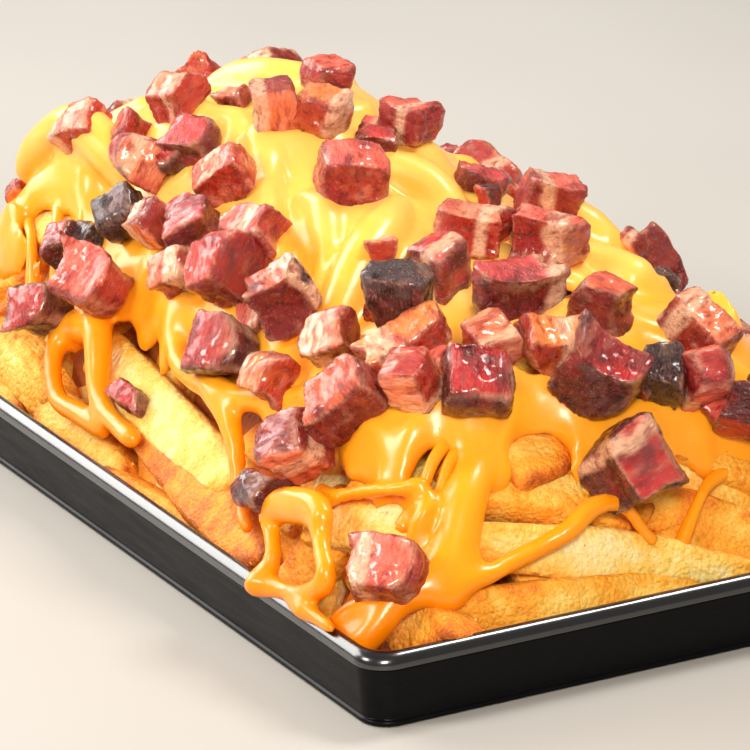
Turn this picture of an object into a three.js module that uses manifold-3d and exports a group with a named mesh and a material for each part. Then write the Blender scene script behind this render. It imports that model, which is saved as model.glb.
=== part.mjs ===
// Loaded cheese fries: a long heap of thick-cut fries in a shallow black tray, under poured
// cheese sauce, with cubes of browned bacon on top. Millimetres, +Z up. The origin is on the
// table under the middle of the tray, and +X runs along the tray.
import * as THREE from 'three';
import { mergeVertices } from 'three/addons/utils/BufferGeometryUtils.js';
import Module from 'manifold-3d';

const wasm = await Module();
wasm.setup();

// The tray: outer size at the rim, floor thickness, and how far its wall leans in at the foot.
const TRAY = { length: 330, width: 190, height: 22, corner: 9, floor: 3, lean: 3, rim: 4.2 };
// How tall the rim's roll is, down to the parting line on the outside.
const ROLL = 4.6;
// The gap that pieces lying on each other keep.
const GAP = 0.35;

// The heap's skin: where its foot starts inside the tray's outer edge, the height there, the
// steepness of its sides, and a long crown that rises to a peak towards one end.
const HEAP = { inset: 8, foot: 13, slope: 1.62, crown: 63, rise: 28, peakX: -58, spread: 85 };
const SHARPNESS = 5;
const HIP_ROUNDING = 0.11;

// A fry: usual length, width and thickness.
const FRY = { length: 82, wide: 16.5, thick: 12.5 };
// The core: how deep it lies under the skin where fries cover it, and under the sauce.
const CORE = { open: 11, covered: 2.6, lumps: 1.2 };
// The sauce: the heights of its underside and top over the skin, how far in from the tray's edge
// its hem hangs where no tongue of it runs lower, and how far its top steps back from the hem.
const SAUCE = { under: 1.2, top: 5, hem: 33, lip: 1.6 };
// The sides that the photograph doesn't show: how many fries and bacon cubes lie there, and from
// where to where, as shares of the way round the heap from the near left corner. The far end
// begins at the share endFrom, and the cubes there lie higher up than on the far side.
const UNSEEN = {
  fries: { count: 24, insets: [12, 22, 33], from: 0.37, to: 0.97 },
  bacon: {
    count: 13, sideInsets: [24, 28, 26], endInsets: [34, 46, 40], from: 0.46, to: 0.94,
    endFrom: 0.8,
  },
};

// Small steady random numbers from a seed.
function seeded(seed) {
  let state = seed;
  return () => {
    state = (state + 0x6d2b79f5) | 0;
    let t = Math.imul(state ^ (state >>> 15), 1 | state);
    t = (t + Math.imul(t ^ (t >>> 7), 61 | t)) ^ t;
    return ((t ^ (t >>> 14)) >>> 0) / 4294967296;
  };
}

const between = (random, low, high) => low + (high - low) * random();

// Height of the fries' skin above the table at a place in the tray.
function skin(x, y) {
  const runX = TRAY.length / 2 - HEAP.inset - Math.abs(x);
  const runY = TRAY.width / 2 - HEAP.inset - Math.abs(y);
  const soft = Math.exp(-HIP_ROUNDING * runX) + Math.exp(-HIP_ROUNDING * runY);
  const run = Math.max(0.5, -Math.log(soft) / HIP_ROUNDING);
  const crown = HEAP.crown + HEAP.rise * Math.exp(-(((x - HEAP.peakX) / HEAP.spread) ** 2));
  const side = HEAP.slope * run;
  return HEAP.foot + (side ** -SHARPNESS + crown ** -SHARPNESS) ** (-1 / SHARPNESS);
}

// The direction that points straight out of the skin.
function skinNormal(x, y) {
  const step = 3;
  const slopeX = (skin(x + step, y) - skin(x - step, y)) / (2 * step);
  const slopeY = (skin(x, y + step) - skin(x, y - step)) / (2 * step);
  return new THREE.Vector3(-slopeX, -slopeY, 1).normalize();
}

// A point at a distance above the skin, measured straight up but as thick as if laid on it.
function above(x, y, distance) {
  return new THREE.Vector3(x, y, skin(x, y) + distance / skinNormal(x, y).z);
}

// A closed body through rings of equally many points. Each end ring is filled like a ladder, with
// rungs that run across it from both sides of the point numbered seam.
function loft(rings, seam = 0) {
  const count = rings[0].length;
  const points = rings.flat();
  const faces = [];
  for (let ring = 0; ring + 1 < rings.length; ring++) {
    for (let side = 0; side < count; side++) {
      const a = ring * count + side;
      const b = ring * count + ((side + 1) % count);
      faces.push(a, b, b + count, a, b + count, a + count);
    }
  }
  const last = (rings.length - 1) * count;
  for (let rung = 0; rung < count / 2 - 1; rung++) {
    const [a, b] = [(seam - rung + count) % count, (seam + 1 + rung) % count];
    const [c, d] = [(b + 1) % count, (a - 1 + count) % count];
    faces.push(a, c, b, a, d, c);
    faces.push(last + a, last + b, last + c, last + a, last + c, last + d);
  }
  const geometry = new THREE.BufferGeometry().setFromPoints(points);
  geometry.setIndex(faces);
  return geometry;
}

// Six times the signed volume, to tell which way a closed geometry faces.
function facing(geometry) {
  const at = geometry.attributes.position;
  const index = geometry.index;
  const [a, b, c] = [new THREE.Vector3(), new THREE.Vector3(), new THREE.Vector3()];
  let sum = 0;
  for (let i = 0; i < index.count; i += 3) {
    a.fromBufferAttribute(at, index.getX(i));
    b.fromBufferAttribute(at, index.getX(i + 1));
    c.fromBufferAttribute(at, index.getX(i + 2));
    sum += a.dot(b.cross(c));
  }
  return sum;
}

function toSolid(geometry) {
  const merged = mergeVertices(geometry, 1e-4);
  const faces = Array.from(merged.index.array);
  if (facing(merged) < 0) faces.reverse();
  const vertProperties = new Float32Array(merged.attributes.position.array);
  const triVerts = new Uint32Array(faces);
  return new wasm.Manifold(new wasm.Mesh({ numProp: 3, vertProperties, triVerts }));
}

function toGeometry(solid) {
  const mesh = solid.getMesh();
  const geometry = new THREE.BufferGeometry();
  geometry.setAttribute('position', new THREE.BufferAttribute(mesh.vertProperties, 3));
  geometry.setIndex(new THREE.BufferAttribute(mesh.triVerts, 1));
  return geometry;
}

// The largest body of a cut solid: loose scraps are dropped.
function largest(solid) {
  return solid.decompose().reduce((a, b) => (b.volume() > a.volume() ? b : a));
}

// Points round a rectangle with round corners, inset from the tray's outer edge.
function outline(inset, alongX, alongY, round, height) {
  const halfX = TRAY.length / 2 - inset;
  const halfY = TRAY.width / 2 - inset;
  const radius = Math.min(Math.max(TRAY.corner - inset * 0.3, 3), halfY * 0.9);
  const [flatX, flatY] = [halfX - radius, halfY - radius];
  const ring = [];
  const place = (x, y) => ring.push(new THREE.Vector3(x, y, height(x, y)));
  const sides = [
    [-flatX, -halfY, flatX, -halfY, alongX, flatX, -flatY, -90],
    [halfX, -flatY, halfX, flatY, alongY, flatX, flatY, 0],
    [flatX, halfY, -flatX, halfY, alongX, -flatX, flatY, 90],
    [-halfX, flatY, -halfX, -flatY, alongY, -flatX, -flatY, 180],
  ];
  for (const [x0, y0, x1, y1, steps, centreX, centreY, start] of sides) {
    for (let i = 0; i <= steps; i++) {
      place(x0 + ((x1 - x0) * i) / steps, y0 + ((y1 - y0) * i) / steps);
    }
    for (let i = 1; i <= round; i++) {
      const angle = THREE.MathUtils.degToRad(start + (90 * i) / (round + 1));
      place(centreX + radius * Math.cos(angle), centreY + radius * Math.sin(angle));
    }
  }
  return ring;
}

// A place on the ring at an inset, a share of the way round from the near left corner.
function placeOnRing(inset, share) {
  const ring = outline(inset, 24, 14, 0, () => 0);
  return ring[Math.floor(share * ring.length)];
}

// The tray's shell, from the middle of its underside out, up over the rolled rim and back in.
function trayGeometry() {
  const { height, floor, lean, rim } = TRAY;
  const profile = [
    [lean + 1.6, 0], [lean + 0.2, 0.5], [lean + 0.2, 1.5], [lean + 0.8, 2],
    [1.4, height - ROLL - 0.3], [1.4, height - ROLL + 0.3], [0.1, height - ROLL + 0.6],
    [0, height - 2], [0.6, height - 0.7], [1.6, height], [rim - 1.1, height], [rim, height - 0.8],
    [rim + lean - 0.6, floor + 1.4], [rim + lean + 1.2, floor],
  ];
  const rings = profile.map(([inset, z]) => outline(inset, 1, 1, 3, () => z));
  return loft(rings);
}

// The room that food may fill: the tray's hollow, and everything above its rim.
const ROOM_TOP = 200;

function roomSolid() {
  const { height, floor, lean, rim } = TRAY;
  const profile = [
    [rim + lean + 1.2 + GAP, floor + GAP], [rim + lean - 0.6 + GAP, floor + 1.6 + GAP],
    [rim + GAP, height - 0.8], [rim - 1.1, height + GAP], [1, height + GAP], [1, ROOM_TOP],
  ];
  const rings = profile.map(([inset, z]) => outline(inset, 1, 1, 3, () => z));
  return toSolid(loft(rings));
}

// The inside of the heap: lumpy, deep under the fries of the sides, and near the sauce above.
function coreGeometry(grow) {
  const [alongX, alongY] = [9, 6];
  const insets = [9, 16, 25, 38, 52, 68, 88];
  const base = outline(insets[0] - grow, alongX, alongY, 0, () => TRAY.floor + 0.1);
  const rings = insets.map((inset) => {
    const covered = THREE.MathUtils.smoothstep(inset, SAUCE.hem - 4, SAUCE.hem + 6);
    const depth = THREE.MathUtils.lerp(CORE.open, CORE.covered, covered);
    return outline(inset - grow, alongX, alongY, 0, (x, y) => {
      const lumps = CORE.lumps * Math.sin(x / 9) * Math.cos(y / 7 + x / 23);
      return Math.max(TRAY.floor + 2, above(x, y, grow - depth + lumps).z);
    });
  });
  return loft([base, ...rings], base.length - (alongY + 1) / 2 - 1);
}

// Fries whose places are read off the photograph, from one end to the other on the skin:
// x, y, x, y, how far each end stands off the skin, width, thickness.
const SEEN_FRIES = [
  [-38, -67, 58, -73, 1, 2, 17, 12],
  [-12, -71, 82, -82, 2, 3, 18, 13],
  [-8, -84, 66, -84, 1, 2, 16, 12],
  [-52, -79, 6, -83, 1, 2, 16, 12],
  [-96, -74, -46, -78, 2, 1, 16, 12],
  [-122, -80, -60, -84, 0, 2, 15, 12],
  [-150, -66, -86, -62, 1, 2, 16, 12],
  [98, -85, 112, -58, 2, 0, 15, 12],
  [92, -72, 143, 2, 3, 4, 16, 12],
  [140, -52, 154, 30, 4, 3, 16, 10],
  [128, -50, 140, -4, 2, 3, 15, 12],
  [90, -62, 157, -67, -4, 8, 21, 16],
  [98, -46, 152, -30, -4, 3, 15, 10],
  [148, -38, 152, 4, 0, 1, 14, 11],
  [76, -26, 137, -26, -4, 9, 21, 15],
  [130, 12, 147, 64, 3, 3, 17, 11],
  [136, -2, 149, 38, 1, 2, 15, 11],
  [98, -6, 106, 48, 0, 6, 15, 11],
  [72, -18, 80, 44, -2, 4, 15, 11],
  [-96, 14, -38, -9, 0, 4, 16, 12],
  [-78, 28, -24, 4, 0, 4, 15, 12],
  [-110, -56, -58, -58, 1, 2, 15, 12],
];

// One more of them under the edge of the sauce by the near corner.
const CORNER_FRY = [94, -80, 141, -57, 5, 5, 12, 12];

// Fries laid by rule round the sides that the photograph doesn't show. Each lies on the skin at
// an even step round the heap, in one of three rows, and leans up or runs along the side.
function hiddenFries() {
  const { count, insets, from, to } = UNSEEN.fries;
  const random = seeded(7);
  const fries = [];
  for (let i = 0; i < count; i++) {
    const row = i % insets.length;
    const inset = insets[row] + between(random, -2, 2);
    const centre = placeOnRing(inset, from + (to - from) * ((i + 0.5) / count));
    const out = skinNormal(centre.x, centre.y);
    const along = new THREE.Vector3(-out.y, out.x, 0).normalize();
    const up = new THREE.Vector3(-out.x, -out.y, 0).normalize();
    const lean = THREE.MathUtils.degToRad(row === 0 ? between(random, -12, 12) : between(random, -70, 70));
    const way = along.multiplyScalar(Math.cos(lean)).addScaledVector(up, Math.sin(lean));
    const reach = (FRY.length / 2) * between(random, 0.78, 1.05) * (1 - 0.45 * Math.abs(Math.sin(lean)));
    const limit = (value, most) => THREE.MathUtils.clamp(value, -most, most);
    // Both ends stay inside the rim.
    const [mostX, mostY] = [TRAY.length / 2 - 12, TRAY.width / 2 - 11];
    fries.push([
      limit(centre.x - way.x * reach, mostX), limit(centre.y - way.y * reach, mostY),
      limit(centre.x + way.x * reach, mostX), limit(centre.y + way.y * reach, mostY),
      between(random, -1, 6 - 2 * row), between(random, -1, 6 - 2 * row),
      FRY.wide * between(random, 0.88, 1.08), FRY.thick * between(random, 0.88, 1.02),
    ]);
  }
  return fries;
}

// One fry: a slightly bowed four-sided bar that narrows towards its ends.
function fryGeometry([x0, y0, x1, y1, lift0, lift1, wide, thick], number, grow) {
  const random = seeded(100 + number);
  const start = above(x0, y0, lift0 - thick / 2);
  const end = above(x1, y1, lift1 - thick / 2);
  const axis = end.clone().sub(start).normalize();
  const out = skinNormal((x0 + x1) / 2, (y0 + y1) / 2);
  const across = new THREE.Vector3().crossVectors(out, axis).normalize();
  across.applyAxisAngle(axis, between(random, -0.35, 0.35));
  const outward = new THREE.Vector3().crossVectors(axis, across);
  const bow = [between(random, -3, 3), between(random, -0.5, 2.5)];
  const ends = [between(random, 0.55, 0.95), between(random, 0.55, 0.95)];
  const steps = 3;
  const rings = [];
  for (let i = 0; i <= steps; i++) {
    const t = i / steps;
    const centre = start.clone().lerp(end, t);
    const arch = 1 - (2 * t - 1) ** 2;
    centre.addScaledVector(across, bow[0] * arch).addScaledVector(outward, bow[1] * arch);
    if (i === 0) centre.addScaledVector(axis, -grow);
    if (i === steps) centre.addScaledVector(axis, grow);
    const narrow = i === 0 ? ends[0] : i === steps ? ends[1] : between(random, 0.94, 1.06);
    const halfWide = (wide / 2) * narrow + grow;
    const halfThick = (thick / 2) * Math.sqrt(narrow) + grow;
    rings.push(
      [[1, 1], [-1, 1], [-1, -1], [1, -1]].map(([u, v]) =>
        centre.clone().addScaledVector(across, u * halfWide).addScaledVector(outward, v * halfThick),
      ),
    );
  }
  return loft(rings);
}

const FRIES = [...SEEN_FRIES, ...hiddenFries(), CORNER_FRY];

function heapSolid(grow) {
  const pieces = [coreGeometry(grow), ...FRIES.map((fry, number) => fryGeometry(fry, number, grow))];
  return wasm.Manifold.union(pieces.map(toSolid));
}

// Where the sauce runs lower than its hem: a place on the tray's edge, how far down it reaches
// and how wide it is.
const TONGUES = [
  [165, -95, 10, 18], [150, -95, 5, 14], [165, -40, 4, 30], [165, 25, 12, 22], [102, -95, 12, 20],
  [60, -95, 5, 16], [-5, -95, 6, 14], [-55, -95, 10, 14], [-95, -95, 9, 15], [-140, -95, 6, 20],
  [165, 80, 8, 20], [120, 95, 10, 17], [64, 95, 13, 15], [5, 95, 8, 18], [-48, 95, 13, 15],
  [-105, 95, 11, 17], [-150, 95, 6, 16], [-165, 50, 9, 16], [-165, -10, 11, 15], [-165, -60, 6, 18],
];

function sauceEdge(x, y) {
  const reach = TONGUES.map(([tx, ty, deep, wide]) => {
    const away = Math.hypot(x - tx, y - ty) / wide;
    return deep * Math.exp(-away * away * 0.5);
  });
  const wave = 2 * Math.sin(x / 13 + y / 17) + 1.4 * Math.sin(x / 6 - y / 8);
  return SAUCE.hem + wave - reach.reduce((sum, value) => sum + value, 0);
}

// The poured blanket, from the middle of its underside out to the hem and back over its top.
function blanketGeometry() {
  const [alongX, alongY] = [13, 8];
  const rim = outline(0, alongX, alongY, 0, () => 0);
  const hems = rim.map((point) => sauceEdge(point.x, point.y));
  const centreInset = TRAY.width / 2 - 5;
  const ringAt = (share, further, distance) => {
    return hems.map((hem, side) => {
      const inset = hem + further + (centreInset - hem - further) * share;
      const point = outline(inset, alongX, alongY, 0, () => 0)[side];
      return above(point.x, point.y, distance);
    });
  };
  const shares = [0, 0.25, 0.55, 1];
  const under = [1, 0.45, 0].map((share) => ringAt(share, SAUCE.lip, SAUCE.under));
  const over = shares.map((share) => ringAt(share, SAUCE.lip, SAUCE.top));
  const rings = [...under, ringAt(0, 0, SAUCE.top * 0.4), ...over];
  return loft(rings, rim.length - (alongY + 1) / 2 - 1);
}

// Strands of sauce: points as x, y and the distance off the skin, with the radius at each.
const STRANDS = [
  [[78, -60, 1, 4], [84, -70, 2, 3.8], [88, -76, 4, 3.4]],
  [[122, -30, 2, 5], [132, -44, 3, 6], [141, -55, 3, 6.6], [148, -65, 3, 6.6], [147, -75, 3, 5]],
  [[147, -74, 3, 5], [140, -83, 3, 4.6], [133, -87, 3, 4]],
  [[150, -78, 3, 4.4], [148, -85, 3, 5], [142, -87, 2, 4.6]],
  [[148, -72, 5, 3], [150, -58, 6, 2.8], [148, -40, 7, 2.9], [144, -20, 7, 2.7], [145, -4, 6, 2.5],
   [153, 4, 2, 2.4]],
  [[-6, -62, 1, 3.8], [22, -71, 4, 3.2], [48, -74, 4, 3.8], [74, -82, 3, 2.4]],
  [[-56, -68, 1, 4], [-44, -72, 3, 4.6], [-20, -80, 3, 3.6], [8, -84, 3, 3.2]],
  [[-97, -56, 1, 4], [-92, -64, 3, 3.2], [-84, -75, 3, 2.6]],
];

// Strands that hang free over the near rim: points as x, y and the height above the table, with
// the radius at each.
const HANGING = [
  [[122, -85, 48, 3.4], [105, -84, 47, 3.8], [93, -85, 38, 3.3], [100, -88, 31, 2.7], [103, -91, 25, 3],
   [118, -91, 25, 3], [132, -91, 32, 3], [127, -88, 40, 2.6], [122, -85, 48, 3.4]],
  [[98, -84, 43, 3.4], [88, -76, 40, 3.4], [82, -68, 42, 3.6]],
  [[118, -92, 24.5, 2.4], [141, -92, 24.5, 2.4]],
];

// A round strand swept through its points, with a short blunt tip at each end.
function strandGeometry(points, place) {
  const sides = 5;
  const centres = points.map(([x, y, height]) => place(x, y, height));
  const curve = new THREE.CatmullRomCurve3(centres);
  const steps = points.length - 1;
  const rings = [];
  for (let i = 0; i <= steps; i++) {
    const t = i / steps;
    const centre = curve.getPoint(t);
    const axis = curve.getTangent(t);
    const across = new THREE.Vector3().crossVectors(skinNormal(centre.x, centre.y), axis).normalize();
    const outward = new THREE.Vector3().crossVectors(axis, across);
    const at = t * (points.length - 1);
    const from = Math.min(Math.floor(at), points.length - 2);
    const radius = THREE.MathUtils.lerp(points[from][3], points[from + 1][3], at - from);
    const ring = [];
    for (let side = 0; side < sides; side++) {
      const angle = (2 * Math.PI * side) / sides;
      ring.push(
        centre.clone()
          .addScaledVector(across, radius * Math.cos(angle))
          .addScaledVector(outward, radius * Math.sin(angle)),
      );
    }
    rings.push(ring);
  }
  return loft(rings);
}

// Bacon cubes in the places where the photograph shows them: x, y, length, width, height, turn.
const SEEN_BACON = [
  [-58, -28, 14, 12, 11, 20], [-26, -17, 12, 12, 15, 70], [-19, -7, 14, 13, 11, 35],
  [-36, 2, 13, 10, 9, 10], [14, -15, 19, 15, 13, 65], [-6, 11, 15, 13, 11, 30],
  [53, -1, 17, 13, 11, 50], [70, -20, 15, 14, 13, 15], [38, 30, 18, 14, 11, 75],
  [68, 14, 18, 16, 14, 40], [93, -10, 20, 16, 13, 80], [106, 9, 14, 13, 13, 25],
  [83, -36, 17, 15, 17, 55], [110, -28, 12, 12, 11, 5], [114, -13, 18, 14, 11, 70],
  [122, -6, 20, 17, 17, 35], [124, 12, 13, 12, 13, 60], [117, 30, 20, 13, 13, 20],
  [126, 23, 13, 13, 18, 85], [132, 33, 13, 12, 16, 45], [136, -5, 20, 19, 18, 10],
  [139, -72, 18, 16, 14, 40], [93, -66, 15, 13, 16, 60], [86, -74, 12, 11, 11, 15],
  [98, -56, 20, 16, 14, 75], [112, -48, 13, 12, 15, 30], [119, -38, 18, 15, 13, 65],
  [96, -43, 24, 12, 8, 85], [76, -50, 14, 12, 11, 50], [38, -60, 17, 15, 13, 30],
  [60, -60, 14, 12, 10, 10], [48, -48, 15, 14, 16, 80], [18, -50, 17, 16, 15, 40],
  [-4, -54, 12, 12, 11, 65], [14, -41, 14, 12, 11, 20], [-10, -46, 13, 12, 11, 55],
  [-26, -50, 12, 11, 11, 35], [-42, -51, 13, 12, 11, 75], [-33, -62, 16, 15, 15, 15],
  [-56, -70, 14, 13, 13, 50], [-46, -42, 12, 11, 14, 85], [-36, -34, 13, 12, 10, 30],
  [-15, -36, 16, 13, 10, 60], [-87, -42, 15, 12, 10, 45],
];

// Bacon on the far side and end, spread evenly by rule.
function hiddenBacon() {
  const { count, sideInsets, endInsets, from, to, endFrom } = UNSEEN.bacon;
  const random = seeded(31);
  const bacon = [];
  for (let i = 0; i < count; i++) {
    const share = from + (to - from) * ((i + 0.5) / count);
    const insets = share < endFrom ? sideInsets : endInsets;
    const spot = placeOnRing(insets[i % insets.length] + between(random, -3, 3), share);
    const size = between(random, 13, 18);
    bacon.push([
      spot.x, spot.y, size * between(random, 1, 1.2), size, size * between(random, 0.75, 0.95),
      between(random, 0, 90),
    ]);
  }
  return bacon;
}

const BACON = [...SEEN_BACON, ...hiddenBacon()];

// One bacon cube: an uneven block with blunt edges, set on the sauce, or on the fries beyond it.
function baconGeometry([x, y, long, wide, high, turn], number, grow) {
  const random = seeded(500 + number);
  const out = skinNormal(x, y);
  const tilt = new THREE.Vector3(between(random, -0.14, 0.14), between(random, -0.14, 0.14), 0);
  const upward = out.clone().add(tilt).normalize();
  const angle = THREE.MathUtils.degToRad(turn);
  const level = new THREE.Vector3(Math.cos(angle), Math.sin(angle), 0);
  const across = new THREE.Vector3().crossVectors(upward, level).normalize();
  const along = new THREE.Vector3().crossVectors(across, upward);
  const centre = new THREE.Vector3(x, y, skin(x, y));
  const seat = y > 0 && TRAY.width / 2 - y < sauceEdge(x, TRAY.width / 2) ? 1 : SAUCE.top + GAP;
  centre.addScaledVector(out, seat + high / 2);
  const corners = [
    [1, 0.66], [0.66, 1], [-0.66, 1], [-1, 0.66],
    [-1, -0.66], [-0.66, -1], [0.66, -1], [1, -0.66],
  ];
  const skew = [between(random, -0.16, 0.16), between(random, -0.16, 0.16)];
  const levels = [[-1, 0.78], [-0.62, 1], [0.6, 1], [1, 0.74]];
  const rings = levels.map(([w, size]) =>
    corners.map(([u, v]) => {
      const uneven = size * between(random, 0.86, 1.06);
      const lift = w * (high / 2) * between(random, 0.88, 1.05) + Math.sign(w) * grow;
      return centre.clone()
        .addScaledVector(along, (u * uneven + skew[0] * w) * (long / 2) + Math.sign(u) * grow)
        .addScaledVector(across, (v * uneven + skew[1] * w) * (wide / 2) + Math.sign(v) * grow)
        .addScaledVector(upward, lift);
    }),
  );
  return loft(rings);
}

// Colours and finishes of the four kinds of piece.
const finish = (color, roughness) => new THREE.MeshStandardMaterial({ color, roughness, metalness: 0 });
const trayFinish = finish(0x17161a, 0.25);
const fryFinish = finish(0xeec37a, 0.75);
const sauceFinish = finish(0xffb52a, 0.2);
const baconFinish = finish(0xb5484a, 0.45);

const model = new THREE.Group();
function addPiece(name, geometry, material) {
  const piece = new THREE.Mesh(geometry, material);
  piece.name = name;
  model.add(piece);
}

const room = roomSolid();
const fries = largest(heapSolid(0).intersect(room));
const friesRoom = heapSolid(GAP);

// Each cube gives way to the fries and to the cubes laid before it.
const laid = [];
BACON.forEach((cube, number) => {
  const body = toSolid(baconGeometry(cube, number, 0));
  const taken = wasm.Manifold.union([friesRoom, ...laid.map((earlier) => earlier.room)]);
  const solid = largest(body.subtract(taken).intersect(room));
  laid.push({ solid, room: toSolid(baconGeometry(cube, number, GAP)) });
});

const straight = (x, y, height) => new THREE.Vector3(x, y, height);
const strands = [
  ...STRANDS.map((points) => strandGeometry(points, above)),
  ...HANGING.map((points) => strandGeometry(points, straight)),
];
const poured = wasm.Manifold.union([blanketGeometry(), ...strands].map(toSolid));
const taken = wasm.Manifold.union([friesRoom, ...laid.map((cube) => cube.room)]);
const sauce = largest(poured.subtract(taken).intersect(room));

addPiece('tray', trayGeometry(), trayFinish);
addPiece('fries', toGeometry(fries), fryFinish);
addPiece('cheese_sauce', toGeometry(sauce), sauceFinish);
laid.forEach((cube, number) => {
  addPiece(`bacon_${String(number + 1).padStart(2, '0')}`, toGeometry(cube.solid), baconFinish);
});

export default model;
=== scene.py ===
# Loaded cheese fries: a long heap of thick-cut fries in a shallow black tray, under poured cheese
# sauce, with cubes of browned bacon on top. Lengths inside the functions are millimetres, and
# meshes are written in metres.
import math
import bpy
import bmesh
import numpy as np
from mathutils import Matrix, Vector
from mathutils.bvhtree import BVHTree


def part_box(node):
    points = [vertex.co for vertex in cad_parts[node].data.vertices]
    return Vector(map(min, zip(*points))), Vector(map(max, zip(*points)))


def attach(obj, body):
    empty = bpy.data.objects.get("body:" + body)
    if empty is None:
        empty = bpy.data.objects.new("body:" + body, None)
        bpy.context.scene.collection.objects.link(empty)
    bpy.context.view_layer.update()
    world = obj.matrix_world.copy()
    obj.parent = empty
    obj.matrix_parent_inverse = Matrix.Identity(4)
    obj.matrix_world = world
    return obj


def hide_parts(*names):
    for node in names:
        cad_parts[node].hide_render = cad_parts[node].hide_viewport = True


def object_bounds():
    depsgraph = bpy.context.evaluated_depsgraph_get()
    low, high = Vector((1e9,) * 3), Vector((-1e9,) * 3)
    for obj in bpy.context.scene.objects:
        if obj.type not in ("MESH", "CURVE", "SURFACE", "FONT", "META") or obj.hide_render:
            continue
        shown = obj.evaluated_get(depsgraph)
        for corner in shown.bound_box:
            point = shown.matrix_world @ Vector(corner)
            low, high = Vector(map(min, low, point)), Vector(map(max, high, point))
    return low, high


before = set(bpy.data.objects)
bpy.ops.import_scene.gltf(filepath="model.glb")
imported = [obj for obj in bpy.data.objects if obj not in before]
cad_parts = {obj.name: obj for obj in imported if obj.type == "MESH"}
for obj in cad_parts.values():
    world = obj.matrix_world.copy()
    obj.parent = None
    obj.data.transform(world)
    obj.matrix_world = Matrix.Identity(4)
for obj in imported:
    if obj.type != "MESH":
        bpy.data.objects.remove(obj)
cad_low, cad_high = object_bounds()
MM = 0.001

# The tray, the heap's skin and the sauce: the same driving sizes as the solid model.
TRAY = dict(length=330, width=190, height=22, corner=9, floor=3, lean=3, rim=4.2, roll=4.6)
HEAP = dict(inset=8, foot=13, slope=1.62, crown=63, rise=28, peak_x=-58, spread=85)
# The larger they are, the sharper the heap turns from side to crown, and from side to side.
SHARPNESS = 5
HIP_ROUNDING = 0.11
FRY = dict(length=82, wide=16.5, thick=12.5)
SAUCE = dict(under=1.2, top=5, hem=33)

HALF_X = TRAY["length"] / 2
HALF_Y = TRAY["width"] / 2


# Steady random numbers and smooth noise

# The golden section, which spreads places evenly round a ring.
GOLDEN = 0.618034


def seeded(seed):
    state = seed
    mask = 0xFFFFFFFF

    def draw():
        nonlocal state
        state = (state + 0x6D2B79F5) & mask
        value = (state ^ (state >> 15)) * (1 | state) & mask
        value = ((value + ((value ^ (value >> 7)) * (61 | value) & mask)) & mask) ^ value
        return ((value ^ (value >> 14)) & mask) / 4294967296

    return draw


def between(random, low, high):
    return low + (high - low) * random()


def pair(random, low, high):
    return between(random, low, high), between(random, low, high)


def noise(points, size, seed):
    """Smooth noise from -1 to 1, with lumps about as wide as size."""
    scaled = np.asarray(points, float) / size + 1000.37 + 17.3 * seed
    cell = np.floor(scaled).astype(np.int64)
    part = scaled - cell
    part = part * part * (3 - 2 * part)
    total = np.zeros(len(scaled))
    for corner in range(8):
        step = np.array([(corner >> axis) & 1 for axis in range(3)])
        spot = cell + step
        mixed = (spot[:, 0] * 73856093) ^ (spot[:, 1] * 19349663) ^ (spot[:, 2] * 83492791)
        mixed = (mixed ^ (seed * 40503)) & 0xFFFFFFFF
        mixed = ((mixed ^ (mixed >> 13)) * 1274126177) & 0xFFFFFFFF
        value = ((mixed ^ (mixed >> 16)) & 0xFFFF) / 32767.5 - 1
        total += value * np.prod(np.where(step, part, 1 - part), axis=1)
    return total


def smoothstep(low, high, value):
    share = np.clip((np.asarray(value, float) - low) / (high - low), 0, 1)
    return share * share * (3 - 2 * share)


def unit(vector):
    vector = np.asarray(vector, float)
    return vector / np.linalg.norm(vector, axis=-1, keepdims=True)


# The heap's skin

def skin(x, y):
    """Height of the fries' skin above the table."""
    run_x = HALF_X - HEAP["inset"] - np.abs(x)
    run_y = HALF_Y - HEAP["inset"] - np.abs(y)
    soft = np.exp(-HIP_ROUNDING * run_x) + np.exp(-HIP_ROUNDING * run_y)
    run = np.maximum(0.5, -np.log(soft) / HIP_ROUNDING)
    away = (x - HEAP["peak_x"]) / HEAP["spread"]
    crown = HEAP["crown"] + HEAP["rise"] * np.exp(-away * away)
    side = HEAP["slope"] * run
    return HEAP["foot"] + (side ** -SHARPNESS + crown ** -SHARPNESS) ** (-1 / SHARPNESS)


def skin_normal(x, y):
    step = 3
    slope_x = (skin(x + step, y) - skin(x - step, y)) / (2 * step)
    slope_y = (skin(x, y + step) - skin(x, y - step)) / (2 * step)
    return unit(np.stack([-slope_x, -slope_y, np.ones_like(slope_x)], axis=-1))


def above(x, y, distance):
    """A point at a distance off the skin."""
    x, y = np.float64(x), np.float64(y)
    return np.array([x, y, skin(x, y) + distance / skin_normal(x, y)[2]])


def outline(inset, along_x, along_y, arc):
    """Points round a rectangle with round corners, inset from the tray's outer edge."""
    half_x = HALF_X - inset
    half_y = HALF_Y - inset
    radius = min(max(TRAY["corner"] - inset * 0.3, 3), half_y * 0.9)
    flat_x, flat_y = half_x - radius, half_y - radius
    sides = [
        (-flat_x, -half_y, flat_x, -half_y, along_x, flat_x, -flat_y, -90),
        (half_x, -flat_y, half_x, flat_y, along_y, flat_x, flat_y, 0),
        (flat_x, half_y, -flat_x, half_y, along_x, -flat_x, flat_y, 90),
        (-half_x, flat_y, -half_x, -flat_y, along_y, -flat_x, -flat_y, 180),
    ]
    ring = []
    for x0, y0, x1, y1, steps, centre_x, centre_y, start in sides:
        for i in range(steps + 1):
            ring.append((x0 + (x1 - x0) * i / steps, y0 + (y1 - y0) * i / steps))
        for i in range(1, arc + 1):
            angle = math.radians(start + 90 * i / (arc + 1))
            ring.append((centre_x + radius * math.cos(angle), centre_y + radius * math.sin(angle)))
    return np.array(ring)


# Meshes from arrays

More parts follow.
